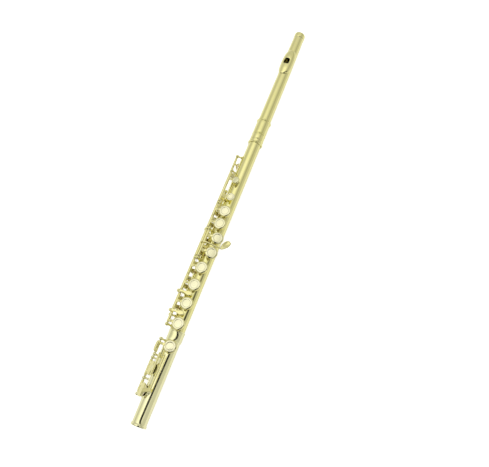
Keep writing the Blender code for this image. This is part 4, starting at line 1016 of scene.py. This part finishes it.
def slot_cut(x, line):
    """Thin cutter for a screw slot in the end of a rod."""
    centre = on_line(line, x)
    rings = []
    for step in (-SLOT_DEPTH, SLOT_DEPTH):
        corners = [(-SLOT_WIDTH, -SLOT_LENGTH), (SLOT_WIDTH, -SLOT_LENGTH)]
        corners += [(SLOT_WIDTH, SLOT_LENGTH), (-SLOT_WIDTH, SLOT_LENGTH)]
        rings.append([centre + Vector((step, 0.5 * a, 0.5 * b)) for a, b in corners])
    return loft(rings)


def steel(line, start, end, slotted):
    """Hinge steel with screw slots at the ends that show."""
    mesh = rod(start, end, STEEL_RADIUS, line)
    slots = [slot_cut(x, line) for x in slotted]
    return cut(mesh, *slots) if slots else mesh


# Key parts

def cup_shape(cup, look="cup"):
    """Key cup: a low dome in a raised ring, a round shoulder and a skirt, open below for the pad."""
    r = cup.radius
    inside = r - CUP_WALL
    skirt = CUP_INSIDE - CUP_SKIRT
    profile = [(share * r, CUP_TOP + lift * CUP_RING_HEIGHT) for share, lift in CUP_TOP_SHAPE]
    profile += [(0.97 * r, CUP_INSIDE + 0.5 * CUP_FLOOR), (r, CUP_INSIDE), (r, skirt)]
    profile += [(inside, skirt), (inside, CUP_INSIDE), (0.0, CUP_INSIDE)]
    mesh = painted(lathe(softened(profile, CUP_CORNER), CUP_SIDES, STILL), look)
    # The top gets the paler cup lacquer, a painted highlight; the rim beyond keeps the plain key lacquer
    rim = [face for face in mesh.polygons if face.center.xy.length > CUP_HIGHLIGHT_SHARE * r]
    for face in rim:
        face.material_index = KEY_LOOKS.index("key")
    return moved(mesh, radial_frame(cup.x, cup.angle))


def pad_shape(cup):
    """Pad: a soft disc that swells at its edge, with the seat that the chimney's rim has pressed."""
    radius = cup.radius - CUP_WALL - CLEARANCE
    seat = cup.hole + 0.5 * CHIMNEY_WALL
    swelled, half_swelled = PAD_BOTTOM + PAD_SWELL, PAD_BOTTOM + 0.5 * PAD_SWELL
    profile = [(0.0, swelled), (0.7 * seat, swelled), (seat - PAD_SEAT_REACH, half_swelled)]
    profile += [(seat, PAD_BOTTOM + PAD_PRESS + PAD_SWELL), (seat + PAD_SEAT_REACH, half_swelled)]
    profile += [(radius - PAD_EDGE_INSET, PAD_BOTTOM), (radius, PAD_BOTTOM + PAD_EDGE_RISE)]
    profile += [(radius, PAD_TOP - PAD_BEVEL), (radius - PAD_BEVEL, PAD_TOP), (0.0, PAD_TOP)]
    return lathe(softened(profile, PAD_CORNER), CUP_SIDES, radial_frame(cup.x, cup.angle))


def touch_button(x, angle):
    """Round finger touch without a pad, dished for the finger."""
    r = C_TOUCH_RADIUS
    top = CUP_TOP + CUP_RING_HEIGHT
    profile = [(0.0, CUP_INSIDE), (r - 2.0 * CUP_WALL, CUP_INSIDE), (r, CUP_INSIDE + 0.5 * CUP_FLOOR)]
    profile += [(r, CUP_TOP), (0.9 * r, top), (0.75 * r, top), (0.6 * r, CUP_TOP)]
    profile += [(0.0, CUP_TOP - BUTTON_DISH)]
    # The button gets the paler cup lacquer, a painted highlight
    return painted(lathe(softened(profile, BUTTON_CORNER), CUP_SIDES, radial_frame(x, angle)), "cup")


def hinge_in_frame(line, angle):
    """Place of a hinge line seen from a cup: sideways distance and height."""
    swing = line.angle - angle
    return line.radius * math.sin(swing), line.radius * math.cos(swing)


def cup_arm(x, angle, radius, line, width=ARM_WIDTH):
    """Arm that springs from the side of a cup, narrows and spreads again on its hinge tube."""
    sideways, height = hinge_in_frame(line, angle)
    side = math.copysign(1.0, sideways)
    rest = CUP_INSIDE + 0.58 * ARM_THICKNESS
    path = [
        (0.0, side * (radius - 1.25 * ARM_THICKNESS), rest, 0.9 * width),
        (0.0, side * (radius + 0.6 * ARM_THICKNESS), rest - 0.25 * ARM_THICKNESS, 0.78 * width),
        (0.0, between(side * radius, sideways), between(rest, height + ARM_THICKNESS), 0.74 * width),
        (0.0, sideways - side * 0.45 * ARM_THICKNESS, height + 0.6 * ARM_THICKNESS, width),
    ]
    return ribbon(path, ARM_THICKNESS, radial_frame(x, angle))


def cup_and_arm(cup, line, look="cup", width=ARM_WIDTH):
    return [cup_shape(cup, look), cup_arm(cup.x, cup.angle, cup.radius, line, width)]


def hinge_tube(line, span, radius):
    """Solid hinge tube with eased ends and a fine line turned near either end."""
    start, end = span
    profile = [(0.0, start), (radius, start)]
    for x in (start + TUBE_LINE_INSET, end - TUBE_LINE_INSET):
        profile += [(radius, x - FINE_GROOVE), (radius - FINE_GROOVE, x), (radius, x + FINE_GROOVE)]
    profile += [(radius, end), (0.0, end)]
    tube = painted(lathe(softened(profile, HINGE_TUBE_CORNER, 2), ROD_SIDES), "key")
    return moved(tube, on_line(line))


def key_body(line, span, solids, radius=HINGE_TUBE_RADIUS):
    """Hinge tube joined to the solids it carries and bored for the steel."""
    start, end = span
    drill = rod(start - CLEARANCE, end + CLEARANCE, STEEL_BORE, line)
    return cut(union(hinge_tube(line, span, radius), *solids), drill)


def tail_places(span, busy):
    """Stations along a hinge tube for its tails, clear of the arms and levers it carries."""
    start, end = span
    count = max(1, round((end - start) / TAIL_PITCH))
    places = [start + (end - start) * (index + 0.5) / count for index in range(count)]
    return [x for x in places if all(abs(x - other) > 0.7 * ARM_WIDTH for other in busy)]


def tail(x, line, floor_radius):
    """Tail that reaches in from a hinge tube and ends over its bumper."""
    end = floor_radius + CLEARANCE + BUMPER_HEIGHT + 0.5 * TAIL_THICKNESS
    path = []
    for radius, width in ((line.radius, 0.8), (between(line.radius, end), 0.85), (end, 1.0)):
        path.append((*polar(x, radius, line.angle), width * TAIL_WIDTH))
    return ribbon(path, TAIL_THICKNESS)


def bumper(x, line, floor_radius):
    """Cork disc under a tail."""
    low = floor_radius + CLEARANCE
    profile = bar_profile(BUMPER_RADIUS, low, low + BUMPER_HEIGHT)
    return lathe(softened(profile, BUMPER_CORNER), ROD_SIDES, radial_frame(x, line.angle))


def swung(mesh, line, swing):
    """Turns a key about its hinge line to its place at rest."""
    there = Matrix.Translation(on_line(line))
    back = Matrix.Translation(-on_line(line))
    return moved(mesh, there @ Matrix.Rotation(swing, 4, "X") @ back)


def place_key(name, line, angle, mesh, pads, is_open=True, extras=(), tails=(), floor_radius=RIB_TOP):
    """Key at rest with its tails, bumpers, pads and separate touches. Pads and extras are (name, thing)."""
    swing = -KEY_OPENING / hinge_in_frame(line, angle)[0] if is_open else 0.0
    mesh = union(mesh, *[tail(x, line, floor_radius) for x in tails])
    piece(name + "_fine", swung(mesh, line, swing), "key", name, name)
    for index, x in enumerate(tails):
        piece(f"{name}_bumper_{index}", swung(bumper(x, line, floor_radius), line, swing), "cork", name)
    for pad_name, cup in pads:
        pad = piece(pad_name + "_soft", swung(pad_shape(cup), line, swing), "pad", name, pad_name)
    for extra_name, extra in extras:
        piece(extra_name + "_fine", swung(extra, line, swing), "key", name, extra_name)


def finger_key(name, cup, line, start, end, is_open=True):
    """Plain key with one cup over one hole. Its arm stays within the hinge tube's length."""
    arm_x = min(max(cup.x, start + 0.5 * ARM_WIDTH), end - 0.5 * ARM_WIDTH)
    solids = [cup_shape(cup), cup_arm(arm_x, cup.angle, cup.radius, line)]
    mesh = key_body(line, (start, end), solids)
    tails = tail_places((start, end), [arm_x, TRILL_POST_LOW_X])
    place_key(name + "_key", line, cup.angle, mesh, [(name + "_pad", cup)], is_open, tails=tails)


def front_keys():
    """Keys on the main line whose cups stand over the front holes."""
    split_left = between(BFLAT_HOLE.x, A_HOLE.x)
    split_right = between(FSHARP_HOLE.x, F_HOLE.x)
    split_low = between(E_HOLE.x, D_HOLE.x)
    finger_key("bflat", BFLAT_HOLE, MAIN_LINE, split_left + HALF_GAP, C_POST_X - BALL_REACH)
    finger_key("a", A_HOLE, MAIN_LINE, A_POST_X + BALL_REACH, split_left - HALF_GAP)
    finger_key("fsharp", FSHARP_HOLE, MAIN_LINE, split_right + HALF_GAP, G_POST_X - BALL_REACH)
    finger_key("f", F_HOLE, MAIN_LINE, F_POST_X + BALL_REACH, split_right - HALF_GAP)
    finger_key("e", E_HOLE, MAIN_LINE, split_low + HALF_GAP, F_POST_X - BALL_REACH)
    finger_key("d", D_HOLE, MAIN_LINE, D_POST_X + BALL_REACH, split_low - HALF_GAP)


def c_key():
    """First-finger touch that closes the small hole further up through a shared hinge tube."""
    # The small cup gets the palest copy of the lacquer, a painted highlight
    solids = cup_and_arm(C_HOLE, MAIN_LINE, "small_cup_highlight")
    solids.append(touch_button(C_TOUCH_X, FRONT_ANGLE))
    solids.append(cup_arm(C_TOUCH_X, FRONT_ANGLE, C_TOUCH_RADIUS, MAIN_LINE))
    span = (C_POST_X + BALL_REACH, TOP_POST_X - BALL_REACH)
    mesh = key_body(MAIN_LINE, span, solids)
    tails = [x for x in tail_places(span, [C_HOLE.x, C_TOUCH_X]) if x < C_TOUCH_X or x > C_HOLE.x]
    place_key("c_key", MAIN_LINE, C_HOLE.angle, mesh, [("c_pad", C_HOLE)], tails=tails)


def g_key():
    """Two offset cups on one hinge tube."""
    solids = cup_and_arm(G_UPPER_HOLE, G_LINE) + cup_and_arm(G_LOWER_HOLE, G_LINE)
    span = (G_POST_X + BALL_REACH, A_POST_X - BALL_REACH)
    mesh = key_body(G_LINE, span, solids)
    pads = [("g_upper_pad", G_UPPER_HOLE), ("g_lower_pad", G_LOWER_HOLE)]
    lever_x = between(G_UPPER_HOLE.x, G_LOWER_HOLE.x)
    tails = tail_places(span, [G_UPPER_HOLE.x, G_LOWER_HOLE.x, lever_x])
    place_key("g_key", G_LINE, OFFSET_G_ANGLE, mesh, pads, tails=tails, floor_radius=TUBE_RADIUS)


def dish(centre, along, side, up):
    """Shallow lens that hollows the top of a touch. It reaches along and side from its centre."""
    profile = [(0.0, -DISH_DEPTH)]
    for step in range(1, DISH_STEPS + 1):
        share = step / DISH_STEPS
        profile.append((share, -DISH_DEPTH * (1.0 - share * share)))
    profile += [(1.0, 2.0 * DISH_DEPTH), (0.0, 2.0 * DISH_DEPTH)]
    place = Matrix((along, side, up.normalized())).transposed().to_4x4()
    return lathe(profile, CUP_SIDES, Matrix.Translation(centre) @ place)


def drop_plate(root, tip):
    """Drop-shaped touch from its root to its tip, hollowed for the finger."""
    along = tip - root
    side = along.cross(Vector((0.0, 0.0, 1.0))).normalized()
    up = side.cross(along).normalized()
    path = []
    for reached, widened in ((0.0, 0.4), (0.26, 0.8), (0.56, 1.0), (0.83, 0.85), (0.95, 0.55)):
        path.append((*(root + along * reached), widened * GSHARP_TOUCH_WIDTH))
    centre = root + along * 0.56 + up * (0.5 * ARM_THICKNESS)
    hollow = dish(centre, along * 0.33, side * (0.36 * GSHARP_TOUCH_WIDTH), up)
    return cut(ribbon(path, ARM_THICKNESS, per_span=6, side_axis=side), hollow)


def gsharp_lever():
    """Lever over the offset hinge tube and between its cups, ending in a slanted drop-shaped touch."""
    x = between(G_UPPER_HOLE.x, G_LOWER_HOLE.x)
    hinge = on_line(MAIN_LINE)
    over = on_line(G_LINE)
    reach = HINGE_TUBE_RADIUS + ARM_THICKNESS + CLEARANCE
    root = Vector((x, -GSHARP_TOUCH_START, over.z - 0.4 * GSHARP_TOUCH_DROP))
    tip = root + Vector((GSHARP_TOUCH_SKEW, -GSHARP_TOUCH_LENGTH, -0.6 * GSHARP_TOUCH_DROP))
    places = [
        (x, hinge.y, hinge.z + HINGE_TUBE_RADIUS),
        (x, hinge.y, hinge.z + 1.35 * reach),
        (x, over.y + 0.33 * reach, over.z + reach),
        (x, over.y - 1.1 * reach, over.z + reach),
        (x, -0.2 * GSHARP_TOUCH_START, over.z + 0.3 * reach),
        root,
        root.lerp(tip, 0.2),
    ]
    path = [(*place, 0.7 * LEVER_WIDTH) for place in places]
    return union(ribbon(path, ARM_THICKNESS), drop_plate(root, tip))


def gsharp_arm(cup):
    """Arm from the main line under the trill line to the far side of the cup behind."""
    sideways, height = hinge_in_frame(MAIN_LINE, cup.angle)
    trill_side, trill_height = hinge_in_frame(TRILL_LINE, cup.angle)
    under = trill_height - TRILL_TUBE_RADIUS - ARM_THICKNESS - CLEARANCE
    places = [
        (sideways, height),
        (trill_side, under),
        (trill_side + 2.0 * TRILL_TUBE_RADIUS, under + ARM_THICKNESS),
        (-cup.radius - ARM_THICKNESS, RIM_HEIGHT),
        (-cup.radius - CLEARANCE, CUP_INSIDE),
    ]
    path = [(0.0, *place, LEVER_WIDTH) for place in places]
    return ribbon(path, ARM_THICKNESS, radial_frame(cup.x, cup.angle), per_span=3)


def gsharp_key():
    """Little-finger lever that crosses the tube between the offset cups and lifts the cup behind."""
    cup = GSHARP_HOLE
    span = (G_POST_X + BALL_REACH, A_POST_X - BALL_REACH)
    mesh = key_body(MAIN_LINE, span, [cup_shape(cup), gsharp_arm(cup)])
    extras = [("gsharp_lever", gsharp_lever())]
    tails = tail_places(span, [cup.x])
    place_key("gsharp_key", MAIN_LINE, GSHARP_ANGLE, mesh, [("gsharp_pad", cup)], False, extras, tails)


def trill_touch(x):
    """Arm from the trill line round the outside of the main line to a touch between two front cups."""
    hinge = on_line(TRILL_LINE)
    outer = on_line(MAIN_LINE)
    elbow = Vector((0.0, outer.y + 1.07 * TRILL_SWING, outer.z - 0.33 * TRILL_SWING))
    root = hinge + (elbow - hinge).normalized() * TRILL_TUBE_RADIUS
    path = [
        (x, root.y, root.z, LEVER_WIDTH),
        (x, elbow.y, elbow.z, LEVER_WIDTH),
        (x, outer.y + 0.91 * TRILL_SWING, outer.z + 0.48 * TRILL_SWING, LEVER_WIDTH),
        (x, outer.y + 0.09 * TRILL_SWING, outer.z + 1.13 * TRILL_SWING, LEVER_WIDTH),
    ]
    for share, lift, width in ((0.0, 0.5, 0.53), (0.3, 0.8, 0.88), (0.76, 0.8, 1.0), (1.0, 0.5, 0.47)):
        y = CUP_RADIUS - share * TRILL_TOUCH_LENGTH
        path.append((x, y, CUP_TOP + lift * ARM_THICKNESS, width * TRILL_TOUCH_WIDTH))
    return ribbon(path, ARM_THICKNESS)


def trill_keys():
    """One long key turns as a tube round the other, which carries its own steel."""
    low_touch = between(E_HOLE.x, D_HOLE.x)
    high_touch = between(F_HOLE.x, E_HOLE.x)
    split = between(D_TRILL_HOLE.x, DSHARP_TRILL_HOLE.x)
    tube_start = high_touch - LEVER_WIDTH
    solids = cup_and_arm(D_TRILL_HOLE, TRILL_LINE, "key", TRILL_LEVER_WIDTH)
    mesh = key_body(TRILL_LINE, (tube_start, split - HALF_GAP), solids, TRILL_TUBE_RADIUS)
    pads = [("d_trill_pad", D_TRILL_HOLE)]
    extras = [("d_trill_touch", trill_touch(high_touch))]
    place_key("d_trill_key", TRILL_LINE, TRILL_ANGLE, mesh, pads, False, extras)
    solids = cup_and_arm(DSHARP_TRILL_HOLE, TRILL_LINE, "key", TRILL_LEVER_WIDTH)
    low_span = (TRILL_POST_LOW_X + BALL_REACH, tube_start - CLEARANCE)
    high_span = (split + HALF_GAP, TRILL_POST_TOP_X - BALL_REACH)
    solids += [hinge_tube(TRILL_LINE, span, TRILL_TUBE_RADIUS) for span in (low_span, high_span)]
    low, high = TRILL_POST_LOW_X - POST_BALL_RADIUS, TRILL_POST_TOP_X + POST_BALL_RADIUS
    core = painted(rod(low, high, STEEL_RADIUS, TRILL_LINE), "key")
    pads = [("dsharp_trill_pad", DSHARP_TRILL_HOLE)]
    extras = [("dsharp_trill_touch", trill_touch(low_touch))]
    place_key("dsharp_trill_key", TRILL_LINE, TRILL_ANGLE, union(core, *solids), pads, False, extras)


def thumb_keys():
    """Thumb key behind the tube and the plain lever beside it."""
    split = THUMB_HOLE.x + THUMB_HOLE.radius
    end = THUMB_POST_TOP_X - BALL_REACH
    finger_key("thumb_b", THUMB_HOLE, THUMB_LINE, THUMB_POST_LOW_X + BALL_REACH, split - HALF_GAP)
    sideways, height = hinge_in_frame(THUMB_LINE, THUMB_ANGLE)
    path = [(0.0, sideways, height, ARM_WIDTH)]
    for share, level, width in (
        (0.25, CUP_INSIDE, ARM_WIDTH),
        (0.4, CUP_TOP, THUMB_TOUCH_WIDTH),
        (0.85, CUP_TOP + CLEARANCE, THUMB_TOUCH_WIDTH),
        (1.0, CUP_TOP, 0.6 * THUMB_TOUCH_WIDTH),
    ):
        path.append((0.0, sideways + share * THUMB_TOUCH_LENGTH, level, width))
    touch = ribbon(path, ARM_THICKNESS, radial_frame(between(split, end), THUMB_ANGLE))
    mesh = key_body(THUMB_LINE, (split + HALF_GAP, end), [touch])
    place_key("thumb_bflat_lever", THUMB_LINE, THUMB_ANGLE, mesh, [])


def foot_dsharp_key():
    """Little-finger key that opens: its touch lies on the outer side of the hinge."""
    cup = FOOT_DSHARP_HOLE
    low, high = FOOT_DSHARP_POSTS
    hinge = on_line(FOOT_DSHARP_LINE)
    width = high - low - 2.0 * BALL_REACH
    path = []
    for reached, lift, widened in ((0.0, 0.7, 0.7), (0.37, 1.3, 0.9), (0.77, 1.1, 0.9), (1.0, 0.6, 0.7)):
        y = hinge.y + reached * FOOT_TOUCH_REACH
        path.append((between(low, high), y, hinge.z + lift * HINGE_TUBE_RADIUS, widened * width))
    solids = cup_and_arm(cup, FOOT_DSHARP_LINE) + [ribbon(path, ARM_THICKNESS)]
    mesh = key_body(FOOT_DSHARP_LINE, (low + BALL_REACH, high - BALL_REACH), solids)
    place_key("foot_dsharp_key", FOOT_DSHARP_LINE, cup.angle, mesh, [("foot_dsharp_pad", cup)], False)


def touch_bar(start, end, angle):
    """Roller bar along the tube between two collars."""
    thick, waist = TOUCH_BAR_RADIUS, 0.88 * TOUCH_BAR_RADIUS
    profile = [(0.0, start), (thick, start), (thick, start + BAR_COLLAR)]
    profile += [(waist, start + 1.3 * BAR_COLLAR), (thick, start + 1.8 * BAR_COLLAR)]
    profile += [(thick, end - 1.8 * BAR_COLLAR)]
    profile += [(waist, end - 1.3 * BAR_COLLAR), (thick, end - BAR_COLLAR), (thick, end), (0.0, end)]
    bar = lathe(softened(profile, TOUCH_BAR_CORNER), ROD_SIDES)
    return moved(bar, polar(0.0, TOUCH_BAR_DISTANCE, angle))


def bar_arm(cup, head):
    """Flat arm that springs from a cup, widens over its edge and rises to a touch bar."""
    place = radial_frame(cup.x, cup.angle)
    path = []
    for share, lift, width in ((-0.35, 0.2, 0.8), (-0.7, 0.5, 1.0), (-1.02, 1.0, 1.1)):
        point = place @ Vector((0.0, share * cup.radius, CUP_TOP + lift * ARM_THICKNESS))
        path.append((*point, width * BAR_ARM_WIDTH))
    path.append((*head, 0.7 * BAR_ARM_WIDTH))
    return ribbon(path, ARM_THICKNESS)


def foot_row_key(name, cup, span, bar_start, bar_angle):
    """Cup that faces the player, with a touch bar above it on a flat arm."""
    bar_end = FOOT_DSHARP_HOLE.x - CUP_RADIUS - TOUCH_BAR_GAP
    head = polar(max(cup.x, bar_start + TOUCH_BAR_RADIUS), TOUCH_BAR_DISTANCE, bar_angle)
    solids = cup_and_arm(cup, FOOT_LINE, "key")
    solids += [touch_bar(bar_start, bar_end, bar_angle), bar_arm(cup, head)]
    mesh = key_body(FOOT_LINE, span, solids)
    tails = tail_places(span, [cup.x])
    place_key(name + "_key", FOOT_LINE, cup.angle, mesh, [(name + "_pad", cup)], tails=tails)


def foot_row_keys():
    """The two lowest keys, whose touch bars lie side by side."""
    cup = FOOT_CSHARP_HOLE
    span = (FOOT_POST_MID_X + BALL_REACH, FOOT_POST_TOP_X - BALL_REACH)
    foot_row_key("foot_csharp", cup, span, cup.x - TOUCH_BAR_OVERHANG, CSHARP_BAR_ANGLE)
    cup = FOOT_C_HOLE
    span = (FOOT_POST_LOW_X + BALL_REACH, FOOT_POST_MID_X - BALL_REACH)
    foot_row_key("foot_c", cup, span, cup.x + TOUCH_BAR_RADIUS, C_BAR_ANGLE)


def steels():
    """Hinge steels, flush with their end posts. The last words name the ends that show a screw slot."""
    tip = 0.9 * POST_BALL_RADIUS
    low, high = FOOT_DSHARP_POSTS
    runs = {
        "left_hand_steel": ("body", MAIN_LINE, A_POST_X + CLEARANCE, TOP_POST_X + tip, "high"),
        "gsharp_steel": ("body", MAIN_LINE, G_POST_X + CLEARANCE, A_POST_X - CLEARANCE, ""),
        "right_hand_steel": ("body", MAIN_LINE, D_POST_X - tip, G_POST_X - CLEARANCE, "low"),
        "g_steel": ("body", G_LINE, G_POST_X - tip, A_POST_X + tip, "low high"),
        "thumb_steel": ("body", THUMB_LINE, THUMB_POST_LOW_X - tip, THUMB_POST_TOP_X + tip, "low high"),
        "foot_dsharp_steel": ("foot", FOOT_DSHARP_LINE, low - tip, high + tip, "low high"),
        "foot_steel": ("foot", FOOT_LINE, FOOT_POST_LOW_X - tip, FOOT_POST_TOP_X + tip, "low high"),
    }
    for name, (body, line, start, end, slotted) in runs.items():
        slots = [x for word, x in (("low", start), ("high", end)) if word in slotted]
        piece(name + "_fine", steel(line, start, end, slots), "steel", body, name)


def spring(x, line, sign):
    """Needle spring that leaves a post beside the hinge tube."""
    base = polar(x, line.radius - 2.0 * HINGE_TUBE_RADIUS, line.angle + SPRING_OFFSET)
    profile = [(0.0, 0.0), (SPRING_RADIUS, 0.0)]
    profile += [(0.6 * SPRING_RADIUS, SPRING_LENGTH), (0.0, SPRING_LENGTH)]
    turn = Matrix.Rotation(math.radians(90.0 * sign), 4, "Y")
    return lathe(profile, SPRING_SIDES, Matrix.Translation(base) @ turn)


def springs():
    """Needle springs of the keys that stand open. Each site is (post, direction along the tube)."""
    body_sites = {
        "c_key": (C_POST_X, 1.0),
        "bflat_key": (C_POST_X, -1.0),
        "a_key": (A_POST_X, 1.0),
        "fsharp_key": (G_POST_X, -1.0),
        "f_key": (F_POST_X, 1.0),
        "e_key": (F_POST_X, -1.0),
        "d_key": (D_POST_X, 1.0),
    }
    foot_sites = {"foot_csharp_key": (FOOT_POST_TOP_X, -1.0), "foot_c_key": (FOOT_POST_LOW_X, 1.0)}
    for body, line, sites in (("body", MAIN_LINE, body_sites), ("foot", FOOT_LINE, foot_sites)):
        for name, (x, sign) in sites.items():
            piece(name + "_spring", spring(x, line, sign), "steel", body)


def fixed_pieces():
    """Tubes, fittings and ribs, each on its body."""
    shapes = {
        ("head", "tube"): (head_tube, lip_plate, embouchure_riser),
        ("crown", "tube"): (crown,),
        ("body", "tube"): (body_tube, barrel, left_hand_rib, right_hand_rib, thumb_rib),
        # The foot's pieces get the paler foot lacquer, a painted highlight
        ("foot", "foot"): (foot_tube, foot_dsharp_rib, foot_rib),
        ("stopper", "cork"): (stopper_cork,),
        ("stopper", "steel"): (stopper_screw, stopper_washer),
    }
    for (body, look), makers in shapes.items():
        for maker in makers:
            name = maker.__name__
            piece(name + "_fine", maker(), look, body, name)


# Studio

def studio_world():
    """White to the camera and even on matt surfaces, with a strip light and a dark gap in gloss."""
    world = bpy.data.worlds.new("studio")
    bpy.context.scene.world = world
    sky = Shading(world)
    direction = sky.node("SeparateXYZ", {0: sky.node("TexCoord").outputs["Generated"]}).outputs
    along = direction["X"]
    angle = sky.calc("MULTIPLY", sky.calc("ARCTAN2", direction["Y"], direction["Z"]), math.degrees(1.0))
    off_strip = sky.calc("ABSOLUTE", sky.calc("SUBTRACT", angle, STRIP_ANGLE))
    strip = sky.spread(off_strip, STRIP_CORE, sky.spread(along, *STRIP_REACH), 1.0, 0.0, True)
    strip = sky.calc("MULTIPLY", strip, sky.spread(along, *STRIP_FADE))
    strip = sky.calc("MULTIPLY", strip, sky.spread(along, *STRIP_LEVEL))
    open_level = sky.calc("ADD", strip, OPEN_LEVEL)
    off_gap = sky.calc("ABSOLUTE", sky.calc("SUBTRACT", angle, sky.spread(along, *GAP_ANGLE)))
    off_gap = sky.calc("DIVIDE", off_gap, sky.spread(along, *GAP_WIDTH))
    gap = sky.spread(off_gap, *GAP_EDGE, sky.spread(along, *GAP_LEVEL), 1.0, True)
    foot_end = sky.spread(along, *FOOT_END_FADE, True)
    gloss = sky.calc("MULTIPLY", sky.calc("MULTIPLY", open_level, gap), foot_end)
    path = sky.node("LightPath").outputs
    level = sky.node("Mix", {0: path["Is Glossy Ray"], 2: MATT_LEVEL, 3: gloss}).outputs[0]
    seen = sky.calc("ADD", path["Is Camera Ray"], path["Is Transmission Ray"])
    shown = sky.node("Mix", {0: seen, 2: level, 3: 1.0}).outputs[0]
    sky.fill(sky.tree.nodes["Background"], {"Color": WHITE, "Strength": shown})


def floor():
    """Wide pale floor, lifted to white for the camera outside the object's soft shadow."""
    height = cad_box[0].z - CLEARANCE
    signs = ((-1.0, -1.0), (1.0, -1.0), (1.0, 1.0), (-1.0, 1.0))
    mesh = bpy.data.meshes.new("floor")
    mesh.from_pydata([(FLOOR_HALF * a, FLOOR_HALF * b, height) for a, b in signs], [], [(0, 1, 2, 3)])
    paper = Shading(bpy.data.materials.new("floor_paper"))
    path = paper.node("LightPath").outputs
    lift = 0.0
    for kind, share in FLOOR_LIFT.items():
        lift = paper.calc("MULTIPLY_ADD", path[kind], share, lift)
    mesh.materials.append(paper.shader({
        "Base Color": FLOOR_COLOUR,
        "Roughness": 1.0,
        "Specular IOR Level": 0.0,
        "Emission Color": WHITE,
        "Emission Strength": lift,
    }))
    placed("floor", mesh)


def softbox():
    """Large soft lamp above the object."""
    lamp = bpy.data.lights.new("softbox", "AREA")
    lamp.shape = "RECTANGLE"
    lamp.size, lamp.size_y = LAMP_SIZE
    lamp.energy = LAMP_POWER
    made = placed("softbox", lamp)
    made.location = LAMP_PLACE
    made.rotation_euler = (LAMP_AIM - LAMP_PLACE).to_track_quat("-Z", "Y").to_euler()
    made.visible_glossy = False


def camera():
    """Camera at the photograph's viewing angle."""
    lens = bpy.data.cameras.new("camera")
    lens.sensor_width = SENSOR_WIDTH
    lens.lens = FOCAL_LENGTH
    lens.clip_start = CLIP_START
    lens.shift_x, lens.shift_y = LENS_SHIFT
    made = placed("camera", lens)
    turn = (CAMERA_AIM - CAMERA_PLACE).to_track_quat("-Z", "Y").to_matrix().to_4x4()
    made.matrix_world = Matrix.Translation(CAMERA_PLACE) @ turn @ Matrix.Rotation(CAMERA_ROLL, 4, "Z")
    bpy.context.scene.camera = made


fixed_pieces()
steels()
springs()
front_keys()
c_key()
g_key()
gsharp_key()
trill_keys()
thumb_keys()
foot_dsharp_key()
foot_row_keys()
studio_world()
floor()
softbox()
camera()
bpy.context.scene.view_settings.view_transform = "Standard"
